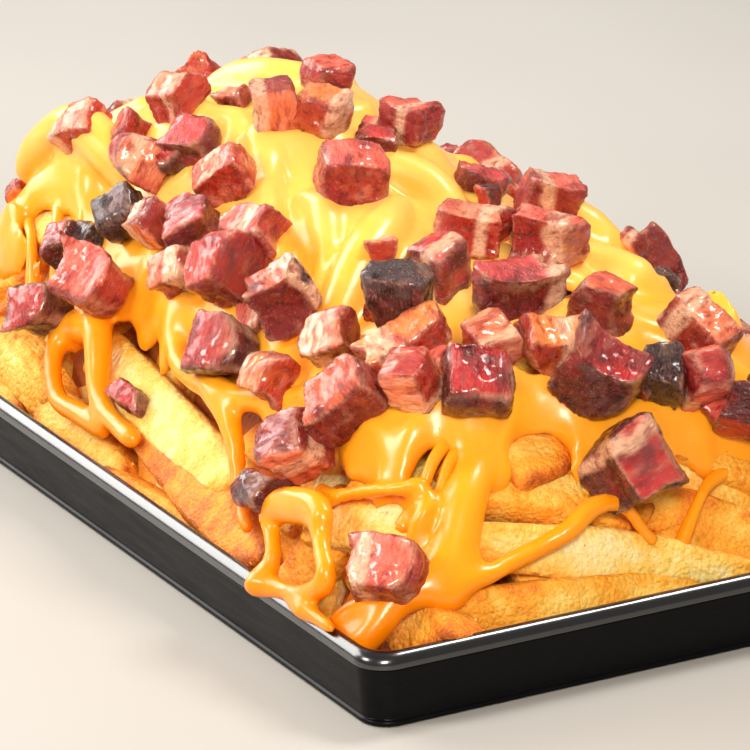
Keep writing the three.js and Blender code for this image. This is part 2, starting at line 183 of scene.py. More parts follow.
def linked(name, data):
    """A new object in the scene."""
    piece = bpy.data.objects.new(name, data)
    bpy.context.scene.collection.objects.link(piece)
    return piece


def new_piece(name, points, quads, tris=(), **values):
    """An object from points in millimetres, faces, and named values for each point."""
    mesh = bpy.data.meshes.new(name)
    quads = np.asarray(quads, np.int64).reshape(-1, 4)
    tris = np.asarray(tris, np.int64).reshape(-1, 3)
    corners = np.concatenate([quads.ravel(), tris.ravel()])
    sizes = np.concatenate([np.full(len(quads), 4), np.full(len(tris), 3)])
    starts = np.concatenate([[0], np.cumsum(sizes)[:-1]])
    mesh.vertices.add(len(points))
    mesh.vertices.foreach_set("co", (np.asarray(points) * MM).astype(np.float32).ravel())
    mesh.loops.add(len(corners))
    mesh.loops.foreach_set("vertex_index", corners.astype(np.int32))
    mesh.polygons.add(len(sizes))
    mesh.polygons.foreach_set("loop_start", starts.astype(np.int32))
    mesh.polygons.foreach_set("use_smooth", np.ones(len(sizes), bool))
    mesh.update(calc_edges=True)
    for key, value in values.items():
        store(mesh, key, value)
    return linked(name, mesh)


def store(mesh, key, value):
    """Keeps a number, a vector or a colour for each point of a mesh."""
    value = np.asarray(value, np.float32)
    if value.ndim == 1:
        mesh.attributes.new(key, "FLOAT", "POINT").data.foreach_set("value", value)
    elif value.shape[1] == 3:
        mesh.attributes.new(key, "FLOAT_VECTOR", "POINT").data.foreach_set("vector", value.ravel())
    else:
        mesh.attributes.new(key, "FLOAT_COLOR", "POINT").data.foreach_set("color", value.ravel())


def points_of(mesh):
    points = np.zeros(len(mesh.vertices) * 3, np.float32)
    mesh.vertices.foreach_get("co", points)
    return points.reshape(-1, 3).astype(float) / MM


def normals_of(mesh):
    normals = np.zeros(len(mesh.vertices) * 3, np.float32)
    mesh.vertices.foreach_get("normal", normals)
    return normals.reshape(-1, 3).astype(float)


def move_points(mesh, points):
    mesh.vertices.foreach_set("co", (points * MM).astype(np.float32).ravel())
    mesh.update()


def edges_of(mesh):
    edges = np.zeros(len(mesh.edges) * 2, np.int32)
    mesh.edges.foreach_get("vertices", edges)
    return edges.reshape(-1, 2)


def eased(points, edges, rounds, share=0.5):
    """Moves each point towards the middle of its neighbours."""
    count = np.bincount(edges.ravel(), minlength=len(points))[:, None]
    for _ in range(rounds):
        total = np.zeros_like(points)
        np.add.at(total, edges[:, 0], points[edges[:, 1]])
        np.add.at(total, edges[:, 1], points[edges[:, 0]])
        points = points + share * (total / count - points)
    return points


def lofted(rings):
    """Faces of a closed body through rings of equally many points, fanned shut at both ends."""
    count = len(rings[0])
    middles = np.array([np.mean(rings[0], axis=0), np.mean(rings[-1], axis=0)])
    points = np.concatenate([np.concatenate(rings), middles])
    ring, side = np.meshgrid(np.arange(len(rings) - 1), np.arange(count), indexing="ij")
    a = (ring * count + side).ravel()
    b = (ring * count + (side + 1) % count).ravel()
    quads = np.stack([a, b, b + count, a + count], axis=1)
    side = np.arange(count)
    first, last = len(points) - 2, (len(rings) - 1) * count
    start = np.stack([np.full(count, first), (side + 1) % count, side], axis=1)
    end = np.stack([np.full(count, first + 1), last + side, last + (side + 1) % count], axis=1)
    return points, quads, np.concatenate([start, end])


def evaluated_mesh(piece):
    view = bpy.context.evaluated_depsgraph_get()
    return bpy.data.meshes.new_from_object(piece.evaluated_get(view))


# The tray

def rounded(profile, steps=5):
    """A profile with an arc at each corner that has a radius."""
    path = []
    for i, (inset, z, radius) in enumerate(profile):
        here = np.array([inset, z], float)
        if radius == 0 or i in (0, len(profile) - 1):
            path.append(here)
            continue
        before = np.array(profile[i - 1][:2], float) - here
        after = np.array(profile[i + 1][:2], float) - here
        reach = min(radius, 0.45 * np.linalg.norm(before), 0.45 * np.linalg.norm(after))
        start = here + unit(before) * reach
        end = here + unit(after) * reach
        for share in np.linspace(0, 1, steps):
            path.append((1 - share) ** 2 * start + 2 * share * (1 - share) * here + share ** 2 * end)
    return path


def make_tray():
    height, floor, lean, rim = TRAY["height"], TRAY["floor"], TRAY["lean"], TRAY["rim"]
    seam = height - TRAY["roll"]
    quarter = np.linspace(0, math.pi / 2, 9)
    roll = [(3 * (1 - math.cos(turn)), height - 3.4 * (1 - math.sin(turn)), 0) for turn in quarter]
    # From under the foot up the wall, over the rolled rim and down inside to the floor: how far in
    # from the tray's edge, how high, and the radius of the corner there.
    profile = [
        (60, 0.8, 0), (lean + 6, 0.8, 0.5), (lean + 5, 0, 0.4), (lean + 1.2, 0, 0.8), (lean + 0.2, 0.6, 0.4),
        (lean + 0.2, 1.6, 0.3), (lean + 0.9, 2.1, 0.3), (1.4, seam - 0.3, 0.3), (1.7, seam, 0.2),
        (1.3, seam + 0.3, 0.2), (0.1, seam + 0.5, 0.3), *roll,
        (rim - 0.8, height, 1), (rim, height - 1, 1.4), (rim + lean - 0.4, floor + 1.2, 2.4),
        (rim + lean + 4, floor, 2), (60, floor, 0),
    ]
    rings = []
    for inset, z in rounded(profile):
        ring = outline(inset, 8, 5, 9)
        rings.append(np.column_stack([ring, np.full(len(ring), z)]))
    return new_piece("tray_shell", *lofted(rings))


# The fries

# Fries whose places are read off the photograph, from one end to the other on the skin:
# x, y, x, y, how far each end stands off the skin, width, thickness.
SEEN_FRIES = [
    (-38, -67, 58, -73, 1, 2, 17, 12), (-12, -71, 82, -82, 2, 3, 18, 13), (-8, -84, 66, -84, 1, 2, 16, 12),
    (-52, -79, 6, -83, 1, 2, 16, 12), (-96, -74, -46, -78, 2, 1, 16, 12),
    (-122, -80, -60, -84, 0, 2, 15, 12), (-150, -66, -86, -62, 1, 2, 16, 12),
    (98, -85, 112, -58, 2, 0, 15, 12), (92, -72, 143, 2, 3, 4, 16, 12),
    (140, -52, 154, 30, 4, 3, 16, 10), (128, -50, 140, -4, 2, 3, 15, 12), (90, -62, 157, -67, -4, 8, 21, 16),
    (98, -46, 152, -30, -4, 3, 15, 10), (148, -38, 152, 4, 0, 1, 14, 11), (76, -26, 137, -26, -4, 9, 24, 17),
    (130, 12, 147, 64, 3, 3, 17, 11), (136, -2, 149, 38, 1, 2, 15, 11), (98, -6, 106, 48, 0, 6, 15, 11),
    (72, -18, 80, 44, -2, 4, 15, 11), (-96, 14, -38, -9, 0, 4, 16, 12), (-78, 28, -24, 4, 0, 4, 15, 12),
    (-110, -56, -58, -58, 1, 2, 15, 12),
]
# How much browner than usual the first of them are: partly their real browning, and partly painted light and
# shade, paler for fries in the light and browner for fries in shade. The rest differ by chance.
SEEN_TONES_WITH_PAINTED_LIGHT = [-0.2, 0.2, 0.08, 0.02, -0.05, 0, 0, 0.14, 0.12, -0.18, 0.02, 0.1, 0.04, 0.1, 0, 0, 0.05]

# Two more under the edge of the sauce by the near corner, and their browning; the second is painted paler,
# as painted light.
CORNER_FRIES = [(94, -56, 140, -50, 0, 3, 14, 12), (102, -76, 140, -54, 8, 8, 16, 13)]
CORNER_TONES_WITH_PAINTED_LIGHT = [-0.05, -0.16]


def laid_round(centre, lean, reach, lifts, wide, thick):
    """A fry that lies on the skin at a place, at an angle to the way round the heap."""
    out = skin_normal(*np.array(centre, float))
    along = unit([-out[1], out[0], 0])
    up = unit([-out[0], -out[1], 0])
    way = along * math.cos(lean) + up * math.sin(lean)
    end_room, side_room = 12, 11
    most = np.array([HALF_X - end_room, HALF_Y - side_room])
    start = np.clip(np.array(centre) - way[:2] * reach, -most, most)
    end = np.clip(np.array(centre) + way[:2] * reach, -most, most)
    return (*start, *end, *lifts, wide, thick)


def hidden_fries():
    """Fries round the sides that the photograph doesn't show, in three rows."""
    random = seeded(7)
    count = 24
    rows = (12, 22, 33)
    fries = []
    for i in range(count):
        row = i % len(rows)
        inset = rows[row] + between(random, -2, 2)
        ring = outline(inset, 24, 14, 0)
        centre = ring[math.floor((0.37 + 0.6 * (i + 0.5) / count) * len(ring))]
        lean = math.radians(between(random, -12, 12) if row == 0 else between(random, -70, 70))
        reach = FRY["length"] / 2 * between(random, 0.78, 1.05) * (1 - 0.45 * abs(math.sin(lean)))
        lifts = pair(random, -1, 6 - 2 * row)
        wide = FRY["wide"] * between(random, 0.88, 1.08)
        thick = FRY["thick"] * between(random, 0.88, 1.02)
        fries.append(laid_round(centre, lean, reach, lifts, wide, thick))
    return fries


def tucked_fries():
    """Fries under the others and under the sauce, in five rows from the tray up to the crown."""
    random = seeded(41)
    count = 72
    rows = (16, 28, 42, 58, 76)
    lowest = (-9, -10, -8, -5, -4)
    highest = (-5, -4, -2, 0, 1)
    fries = []
    for i in range(count):
        row = i % len(rows)
        ring = outline(rows[row] + between(random, -4, 4), 60, 34, 0)
        centre = ring[math.floor((i * GOLDEN % 1) * len(ring))]
        lean = math.radians(between(random, -75, 75))
        reach = FRY["length"] / 2 * between(random, 0.55, 0.95)
        lifts = pair(random, lowest[row], highest[row])
        wide = FRY["wide"] * between(random, 0.8, 1.08)
        thick = FRY["thick"] * between(random, 0.85, 1.02)
        fries.append(laid_round(centre, lean, reach, lifts, wide, thick))
    return fries


FRY_SIDES = 22
FRY_RINGS = 27
SQUARENESS = 6


def fry_section():
    """The outline of a fry's section as two coordinates from -1 to 1: a square with round corners."""
    theta = np.linspace(0, 2 * math.pi, FRY_SIDES, endpoint=False) + 0.1
    power = 2 / SQUARENESS
    u = np.sign(np.cos(theta)) * np.abs(np.cos(theta)) ** power
    v = np.sign(np.sin(theta)) * np.abs(np.sin(theta)) ** power
    return u, v


def fry_stations(length):
    """Places along a fry from 0 to 1, closer at its blunt ends, and how full its section is there."""
    blunt = 2.4
    turn = np.linspace(0.12, math.pi / 2, 5)
    cap = blunt * (1 - np.cos(turn)) / length
    t = np.concatenate([[0], cap, np.linspace(cap[-1], 1 - cap[-1], FRY_RINGS)[1:-1], 1 - cap[::-1], [1]])
    near = np.minimum(np.minimum(t, 1 - t) * length / blunt, 1)
    return t, 0.62 + 0.38 * np.sqrt(1 - (1 - near) ** 2)


def fry_browning(points, section, from_end, shade):
    """How brown a fry is at each point: more at its ends and edges, and mottled."""
    u, v = section
    corner = np.clip(np.abs(u * v) / 0.62, 0, 1) ** 2
    toward_end = smoothstep(9, 0, from_end)
    brown = 0.2 * corner[None] + 0.3 * toward_end[:, None] * (0.3 + 0.7 * corner[None])
    brown = brown.ravel() + 0.17 * noise(points, 9, 9) + 0.12 * noise(points, 2.6, 10) + shade
    end_face = 0.45 + shade
    return np.append(brown, [end_face, end_face])


def fry_frame(row, roll):
    """A fry's start and length, and its directions along, across and outward."""
    x0, y0, x1, y1, lift0, lift1, _, thick = row
    start = above(x0, y0, lift0 - thick / 2)
    end = above(x1, y1, lift1 - thick / 2)
    length = np.linalg.norm(end - start)
    axis = (end - start) / length
    out = skin_normal(np.float64((x0 + x1) / 2), np.float64((y0 + y1) / 2))
    across = unit(np.cross(out, axis))
    across = across * math.cos(roll) + np.cross(axis, across) * math.sin(roll)
    return start, length, axis, across, np.cross(axis, across)


def fry_shape(row, number, tone):
    """Points, faces and browning of one fry: a bowed bar with blunt, slanting ends."""
    wide, thick = row[6:]
    random = seeded(100 + number)
    start, length, axis, across, outward = fry_frame(row, between(random, -0.35, 0.35))
    bow = (between(random, -3, 3), between(random, -0.5, 2.5))
    ends = pair(random, 0.55, 0.95)
    middles = pair(random, 0.94, 1.06)
    slants = pair(random, -0.75, 0.75)
    twist = between(random, -0.22, 0.22)
    shade = between(random, -0.2, 0.14)
    # Given tones carry painted light and shade as well as browning.
    if tone is not None:
        shade = tone + 0.3 * shade

    t, closing = fry_stations(length)
    knots = np.array([ends[0], middles[0], middles[1], ends[1]])
    narrow = np.interp(t * 3 + 0.13 * np.sin(t * 6 * math.pi), [0, 1, 2, 3], knots)
    arch = 1 - (2 * t - 1) ** 2

    u, v = fry_section()
    turned = twist * (t - 0.5)
    across_at = across[None] * np.cos(turned)[:, None] + outward[None] * np.sin(turned)[:, None]
    outward_at = np.cross(axis, across_at)
    centre = start[None] + axis[None] * (t * length)[:, None]
    centre = centre + across[None] * (bow[0] * arch)[:, None] + outward[None] * (bow[1] * arch)[:, None]
    half_wide = wide / 2 * narrow * closing
    half_thick = thick / 2 * np.sqrt(narrow) * closing
    slant = slants[0] * smoothstep(0.3, 0, t) - slants[1] * smoothstep(0.7, 1, t)
    points = centre[:, None] + across_at[:, None] * (u[None] * half_wide[:, None])[..., None]
    points = points + outward_at[:, None] * (v[None] * half_thick[:, None])[..., None]
    points = points + axis[None, None] * (slant[:, None] * (u[None] * half_wide[:, None]))[..., None]

    flat = points.reshape(-1, 3)
    radial = across_at[:, None] * u[None, :, None] + outward_at[:, None] * v[None, :, None]
    radial = unit(radial.reshape(-1, 3))
    offset = np.array([number * 31.7, number * 11.3, 0])
    relief = 0.35 * noise(flat + offset, 15, 5) + 0.28 * noise(flat + offset, 4.6, 6)
    relief = relief + 0.22 * noise(flat + offset, 2.4, 8)
    flat = flat + radial * relief[:, None]
    rings = flat.reshape(points.shape)
    vertices, quads, tris = lofted(list(rings))
    brown = fry_browning(flat + offset, (u, v), np.minimum(t, 1 - t) * length, shade)
    return vertices, quads, tris, brown


def joined(shapes):
    """One set of points, faces and values from several."""
    points, quads, tris, values = [], [], [], []
    start = 0
    for vertices, fours, threes, value in shapes:
        points.append(vertices)
        quads.append(fours + start)
        tris.append(threes + start)
        values.append(value)
        start += len(vertices)
    return np.concatenate(points), np.concatenate(quads), np.concatenate(tris), np.concatenate(values)


def make_fries():
    rows = SEEN_FRIES + hidden_fries() + tucked_fries()
    tones = SEEN_TONES_WITH_PAINTED_LIGHT + [None] * (len(rows) - len(SEEN_TONES_WITH_PAINTED_LIGHT)) + CORNER_TONES_WITH_PAINTED_LIGHT
    rows = rows + CORNER_FRIES
    shapes = [fry_shape(row, number, tone) for number, (row, tone) in enumerate(zip(rows, tones))]
    points, quads, tris, brown = joined(shapes)
    room = HALF_Y - TRAY["rim"] - 1
    points[:, 1] = np.clip(points[:, 1], -room, room)
    points[:, 2] = np.maximum(points[:, 2], TRAY["floor"] + 0.2)
    return new_piece("fries_heap", points, quads, tris, brown=brown)


CORE = dict(foot_inset=14, top_inset=92, depth=20, rings=18)


def make_core():
    """The inside of the heap, well below the fries that show, painted dark brown as painted shade."""
    floor = TRAY["floor"]
    insets = np.linspace(CORE["foot_inset"], CORE["top_inset"], CORE["rings"])
    foot = outline(insets[0], 40, 22, 0)
    rings = [np.column_stack([foot, np.full(len(foot), floor + 0.1)])]
    for inset in insets:
        ring = outline(inset, 40, 22, 0)
        height = skin(ring[:, 0], ring[:, 1]) - CORE["depth"]
        points = np.column_stack([ring, np.maximum(floor + 1, height)])
        points[:, 2] += 1.8 * noise(points, 9, 12)
        points[:, 2] = np.maximum(points[:, 2], floor + 0.3)
        rings.append(points)
    points, quads, tris = lofted(rings)
    # Painted shade: the core is painted dark brown, standing for fries deep in the heap's shade.
    return new_piece("fries_core", points, quads, tris, brown=0.7 + 0.3 * noise(points, 7, 13))


# The sauce

# Where the sauce runs lower than its hem: a place on the tray's edge, how far down it reaches
# and how wide it is.
TONGUES = [
    (165, -95, 10, 18), (150, -95, 5, 14), (165, -40, 4, 30), (165, 25, 12, 22), (102, -95, 8, 16),
    (60, -95, 5, 16), (-5, -95, 6, 14), (-55, -95, 10, 14), (-95, -95, 9, 15), (-140, -95, 6, 20),
    (165, 80, 8, 20), (120, 95, 10, 17), (64, 95, 13, 15), (5, 95, 8, 18), (-48, 95, 13, 15),
    (-105, 95, 11, 17), (-150, 95, 6, 16), (-165, 50, 9, 16), (-165, -10, 11, 15), (-165, -60, 6, 18),
]

# Thick strands and ribbons of sauce: points as x, y and the distance off what lies below, with
# the radius at each.
RIBBONS = dict(
    ring_foot=[(78, -62, 1, 4.2), (82, -70, 2, 4), (88, -74, 4, 3.4)],
    flood=[(122, -30, 2, 5), (127, -36, 2, 5), (132, -44, 2, 5.4), (138, -51, 2, 6), (143, -57, 2, 6.4),
           (146, -62, 2, 6.6), (147, -68, 2, 5.6), (145, -75, 3, 5)],
    flood_side=[(147, -56, 1, 4.6), (150, -62, 1, 5), (151, -66, 2, 4)],
    pool=[(145, -75, 3, 4.6), (143, -80, 3, 4.4), (138, -84, 3, 4.8), (133, -87, 3, 4.4),
          (128, -88, 2, 3.6)],
    pool_lip=[(146, -80, 3, 4.4), (145, -86, 3, 4.6), (140, -87, 2, 4.4)],
    side_strand=[(-4, -62, 1, 4), (8, -68, 3, 3.4), (22, -71, 4, 3.2), (40, -73, 4, 4.4), (56, -76, 4, 3),
                 (66, -80, 3, 2.4), (76, -83, 2, 2.2)],
    side_branch=[(73, -62, 2, 4), (58, -68, 3, 3.6), (42, -73, 4, 4)],
    left_drip=[(-54, -72, 2, 4.5), (-40, -72, 3, 5), (-30, -74, 3, 4.6), (-18, -80, 3, 3.6), (-6, -83, 3, 3),
               (10, -84, 3, 3.2)],
    left_drip_leg=[(-52, -74, 2, 4), (-47, -80, 3, 3), (-36, -84, 3, 3), (-22, -84, 3, 3.4),
                   (-8, -84, 2, 3)],
    curtain=[(-118, -50, 4, 6), (-112, -49, 6, 7), (-92, -48, 7, 7), (-76, -47, 6, 6.5), (-62, -46, 4, 6)],
    big_fold=[(26, -8, 3, 5), (34, -18, 5, 7), (44, -32, 5, 7), (54, -43, 3, 6)],
    thin_fold=[(6, -26, 3, 4), (18, -27, 4, 4.5), (30, -32, 4, 4), (38, -38, 3, 4)],
    upper_fold=[(-24, -24, 3, 5), (-12, -28, 4, 4.6), (-2, -34, 4, 4.4), (10, -40, 3, 4)],
    lobe=[(2, 2, 3, 6), (10, 10, 4, 7), (20, 12, 3, 6), (30, 8, 2, 5)],
    far_lobe=[(60, 26, 3, 5), (70, 31, 4, 7), (80, 36, 4, 6.5)],
    peak=[(-78, -8, 3, 5), (-72, -4, 5, 6), (-60, -2, 5, 6), (-50, 4, 4, 6), (-42, 6, 3, 5)],
    peak_side=[(-60, -30, 3, 4.6), (-50, -26, 4, 5), (-42, -22, 4, 5), (-34, -28, 3, 4.4)],
    right_flow=[(96, 10, 2, 5), (112, 20, 3, 5.4), (126, 40, 3, 5), (136, 52, 2, 4.6)],
    far_flow=[(-20, 40, 2, 5), (-24, 52, 3, 5), (-30, 66, 3, 4.4), (-34, 76, 3, 3.8)],
    far_fold=[(30, 36, 3, 5), (44, 44, 4, 5.4), (56, 56, 3, 4.6), (62, 70, 3, 3.6)],
    far_drip=[(-86, 52, 2, 5), (-92, 64, 3, 4.4), (-100, 74, 3, 3.4), (-104, 80, 2, 3)],
    end_flow=[(-120, 10, 2, 5), (-132, 2, 3, 5), (-142, -8, 3, 4.2), (-149, -12, 3, 3.4)],
    end_fold=[(-104, -20, 3, 5), (-116, -30, 4, 5), (-128, -40, 3, 4.4), (-138, -46, 2, 3.6)],
)

# Where fries look out of the sauce: x, y, half length along x and along y.
WINDOWS = [
    (112, -19, 9, 7), (134, -26, 6, 9), (128, -55, 5, 7), (118, -79, 20, 8), (129, -71, 8, 7),
    (88, 12, 9, 7), (-84, -62, 15, 5), (20, 64, 12, 7), (-64, 58, 12, 7), (96, 58, 10, 9),
    (-132, 28, 8, 9), (-96, 36, 9, 6),
]

# Strands that hang free by the near corner: points as x, y and the height above the table, with
# the radius at each.
HANGING = dict(
    ring=[(122, -85, 45.5, 3.3), (116, -84, 46.5, 3.7), (105, -84, 44, 3.8), (97, -84, 40, 3.7),
          (92, -85, 36, 3.2), (95, -86, 33, 2.6), (100, -88, 30, 2.5), (103, -90, 26, 2.7),
          (102, -92, 23, 3.2), (107, -93, 22, 3.4), (115, -92, 23, 2.8), (125, -92, 26, 2.8),
          (133, -91, 31, 3.2), (133, -90, 35, 2.9), (127, -88, 38.5, 2.7), (123, -86, 42, 2.8),
          (122, -85, 45.5, 3.3)],
    ring_root=[(96, -84, 40, 3.4), (92, -80, 40, 3.2), (88, -76, 40, 3.4)],
    ring_arch=[(98, -84, 37.5, 2.8), (105, -84, 40.5, 3.4), (115, -84, 43, 3.6), (123, -86, 41, 2.6)],
    ring_film=[(118, -84.5, 45.5, 3), (112, -79, 45, 2.6), (106, -75, 43.5, 2.8)],
    film=[(100, -73, 42, 3), (108, -75, 44, 2.4), (115, -72.4, 47, 2.2), (122.5, -69.5, 50, 2.2),
          (128, -66, 51.5, 2.2), (132, -61, 53, 2.8)],
    ring_toe=[(102, -92, 22, 3.2), (104, -95, 21.7, 3.8)],
    long_string=[(148, -74, 30, 3), (151, -63, 31.5, 3), (152, -54, 32.5, 2.8), (150, -43, 34.5, 2.8),
                 (150, -34, 37, 2.8), (151.5, -27, 40.5, 3), (150, -20, 44.5, 3), (149.5, -14, 45, 2.6),
                 (149, -8, 42, 2.2), (150, -4, 36, 2), (152, -2, 33, 2.4)],
    rim_drop=[(119, -93, 23, 2.2), (127, -94, 23, 3), (135, -94, 23, 2.2), (142, -94, 23, 2)],
)

# Thin threads: points as x, y and how far each is above the line between its two ends, with the
# radius.
THREADS = dict(
    curtain_a=[(-107, -57, 0, 2.6), (-98, -62, 1, 1.7), (-88, -66, 1, 1.5), (-80, -70, 0, 2.4)],
    curtain_b=[(-91, -55, 0, 2.6), (-83, -60, 1, 1.6), (-76, -64, 1, 1.4), (-69, -68, 0, 2.2)],
    curtain_c=[(-79, -52, 0, 2.4), (-71, -58, 1, 1.4), (-66, -62, 0, 1.8)],
    pair_left=[(122, -44, 0, 2.4), (127, -54, 2, 1.8), (130, -60, 1, 1.7), (131, -66, 0, 2.4)],
    pair_right=[(125, -41, 0, 2.4), (129, -50, 2, 1.9), (133, -56, 1, 1.6), (134, -61, 0, 2.2)],
    right_thread=[(138, 38, 0, 3), (143, 23, 1, 1.9), (147, 16, 1, 1.5), (151, 8, 0, 2.2)],
)

# The grid that the sauce is poured into: its step, its lowest corner and its highest.
SAUCE_STEP = 1.42
SAUCE_LOW = np.array([-156.0, -101.0, 12.0])
SAUCE_HIGH = np.array([158.0, 93.0, 123.0])


def sauce_edge(x, y):
    """How far in from the tray's edge the hem hangs, for a place on that edge."""
    wave = 2 * np.sin(x / 13 + y / 17) + 1.4 * np.sin(x / 6 - y / 8)
    hem = SAUCE["hem"] + wave
    for tongue_x, tongue_y, deep, wide in TONGUES:
        away = np.hypot(x - tongue_x, y - tongue_y) / wide
        hem = hem - deep * np.exp(-away * away / 2)
    return hem


def sauce_cover(x, y):
    """How far inside the sauce's hem a place is, and less than 0 outside it."""
    run_x = HALF_X - np.abs(x)
    run_y = HALF_Y - np.abs(y)
    end_share = 1 / (1 + np.exp((run_x - run_y) / 5))
    by_end = run_x - sauce_edge(np.sign(x) * HALF_X, y)
    by_side = run_y - sauce_edge(x, np.sign(y) * HALF_Y)
    cover = end_share * by_end + (1 - end_share) * by_side
    flat = np.stack([x.ravel(), y.ravel(), np.zeros(x.size)], axis=1)
    cover = cover + (3.4 * noise(flat, 12, 21) + 1.8 * noise(flat, 5.5, 22)).reshape(x.shape)
    for window_x, window_y, long, wide in WINDOWS:
        away = np.hypot((x - window_x) / long, (y - window_y) / wide)
        cover = np.minimum(cover, (away - 1) * min(long, wide))
    return cover


def blurred(heights, width):
    """A height map softened over a width, in steps of the grid."""
    reach = int(math.ceil(2.5 * width))
    weights = np.exp(-0.5 * (np.arange(-reach, reach + 1) / width) ** 2)
    weights = weights / weights.sum()
    for axis in (0, 1):
        padded = np.pad(heights, [(reach, reach) if a == axis else (0, 0) for a in (0, 1)], "edge")
        total = np.zeros_like(heights)
        for i, weight in enumerate(weights):
            total = total + weight * np.take(padded, np.arange(i, i + heights.shape[axis]), axis)
        heights = total
    return heights


def height_map(points, grid_x, grid_y):
    """The highest point in each cell of a grid, with small gaps filled from beside them."""
    heights = np.full((len(grid_x), len(grid_y)), -1.0)
    column = np.round((points[:, 0] - grid_x[0]) / SAUCE_STEP).astype(int)
    row = np.round((points[:, 1] - grid_y[0]) / SAUCE_STEP).astype(int)
    within = (column >= 0) & (column < len(grid_x)) & (row >= 0) & (row < len(grid_y))
    np.maximum.at(heights, (column[within], row[within]), points[within, 2])
    for _ in range(2):
        spread = heights.copy()
        for axis in (0, 1):
            for shift in (-1, 1):
                spread = np.maximum(spread, np.roll(heights, shift, axis) - 0.5)
        heights = np.where(heights < spread - 3, spread, heights)
    return heights


def merged(first, second, blend):
    """The smooth union of two distance fields."""
    share = np.clip(0.5 + 0.5 * (second - first) / blend, 0, 1)
    return second * (1 - share) + first * share - blend * share * (1 - share)


def along_curve(points, steps):
    """Points and radii along a smooth curve through the points given."""
    path = np.array([points[0]] + list(points) + [points[-1]], float)
    result = []
    for i in range(1, len(path) - 2):
        p0, p1, p2, p3 = path[i - 1:i + 3]
        for share in np.arange(steps) / steps:
            result.append(0.5 * (2 * p1 + (p2 - p0) * share + (2 * p0 - 5 * p1 + 4 * p2 - p3) * share ** 2
                                 + (3 * p1 - p0 - 3 * p2 + p3) * share ** 3))
    return np.array(result + [path[-2]])


class Field:
    """Distances to the sauce's surface on a regular grid, less than 0 inside it."""

    def __init__(self, low, high, step):
        self.step = step
        self.axes = [np.arange(low[a], high[a] + step, step) for a in range(3)]
        self.low = low
        self.values = np.full([len(axis) for axis in self.axes], 9.0, np.float32)

    def block(self, low, high):
        """The slices and the points of the part of the grid inside a box."""
        spans = []
        for a in range(3):
            first = max(0, int(math.floor((low[a] - self.low[a]) / self.step)))
            last = min(len(self.axes[a]), int(math.ceil((high[a] - self.low[a]) / self.step)) + 1)
            spans.append(slice(first, max(first, last)))
        points = np.meshgrid(*[self.axes[a][spans[a]] for a in range(3)], indexing="ij")
        return tuple(spans), points

    def add_strand(self, path, blend):
        """A round strand along a path of points with radii."""
        path = np.asarray(path)
        reach = path[:, 3].max() + 2 * blend
        spans, points = self.block(path[:, :3].min(0) - reach, path[:, :3].max(0) + reach)
        nearest = np.full(points[0].shape, 99.0)
        for start, end in zip(path[:-1], path[1:]):
            way = end[:3] - start[:3]
            share = sum((points[a] - start[a]) * way[a] for a in range(3)) / max(way @ way, 1e-6)
            share = np.clip(share, 0, 1)
            away = np.sqrt(sum((points[a] - start[a] - share * way[a]) ** 2 for a in range(3)))
            nearest = np.minimum(nearest, away - (start[3] + (end[3] - start[3]) * share))
        self.values[spans] = merged(self.values[spans], nearest, blend)

    def surface(self):
        """Points and quads of a net over the level 0."""
        field = self.values
        field[[0, -1]] = field[:, [0, -1]] = field[:, :, [0, -1]] = 9.0
        inside = field < 0
        corners = [(i, j, k) for i in (0, 1) for j in (0, 1) for k in (0, 1)]
        wide, deep, high = np.array(inside.shape) - 1
        count = np.zeros((wide, deep, high), np.uint8)
        for i, j, k in corners:
            count += inside[i:wide + i, j:deep + j, k:high + k]
        cells = np.argwhere((count > 0) & (count < 8))
        number = np.full(count.shape, -1, np.int64)
        number[tuple(cells.T)] = np.arange(len(cells))
        total = np.zeros((len(cells), 3))
        hits = np.zeros(len(cells))
        for axis in range(3):
            way = np.eye(3, dtype=int)[axis]
            for corner in corners:
                if corner[axis]:
                    continue
                start = cells + corner
                here, there = field[tuple(start.T)], field[tuple((start + way).T)]
                crossing = (here < 0) != (there < 0)
                share = here[crossing] / (here[crossing] - there[crossing])
                total[crossing] += start[crossing] + share[:, None] * way
                hits[crossing] += 1
        points = self.low + self.step * total / hits[:, None]
        quads = []
        for axis in range(3):
            way, second, third = np.roll(np.eye(3, dtype=int), -axis, axis=0)
            before = np.take(inside, np.arange(inside.shape[axis] - 1), axis)
            after = np.take(inside, np.arange(1, inside.shape[axis]), axis)
            spots = np.argwhere(before != after)
            face = [number[tuple((spots - shift).T)] for shift in (0 * way, second, second + third, third)]
            face = np.stack(face, axis=1)
            outward = before[tuple(spots.T)]
            quads.append(np.where(outward[:, None], face, face[:, ::-1]))
        return points, np.concatenate(quads)


def bacon_seats():
    """The middle of each bacon cube of the solid model and its width."""
    seats = []
    for name in BACON_NODES:
        low, high = (np.array(corner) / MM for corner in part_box(name))
        seats.append(((low + high) / 2, (high - low)[:2].mean()))
    return seats


def fitted_to_bacon(top, x, y, steep):
    """How far the sauce's top is raised or lowered at each place, so that it meets the cubes."""
    total = np.zeros_like(top)
    weights = np.zeros_like(top)
    for middle, width in bacon_seats():
        away = np.hypot(x - middle[0], y - middle[1]) / (width * 0.62)
        weight = np.exp(-away ** 3)
        seat = skin(x, y) + (SAUCE["top"] + 1.3) / steep
        total += weight * (seat - top)
        weights += weight
    return total / np.maximum(weights, 1)


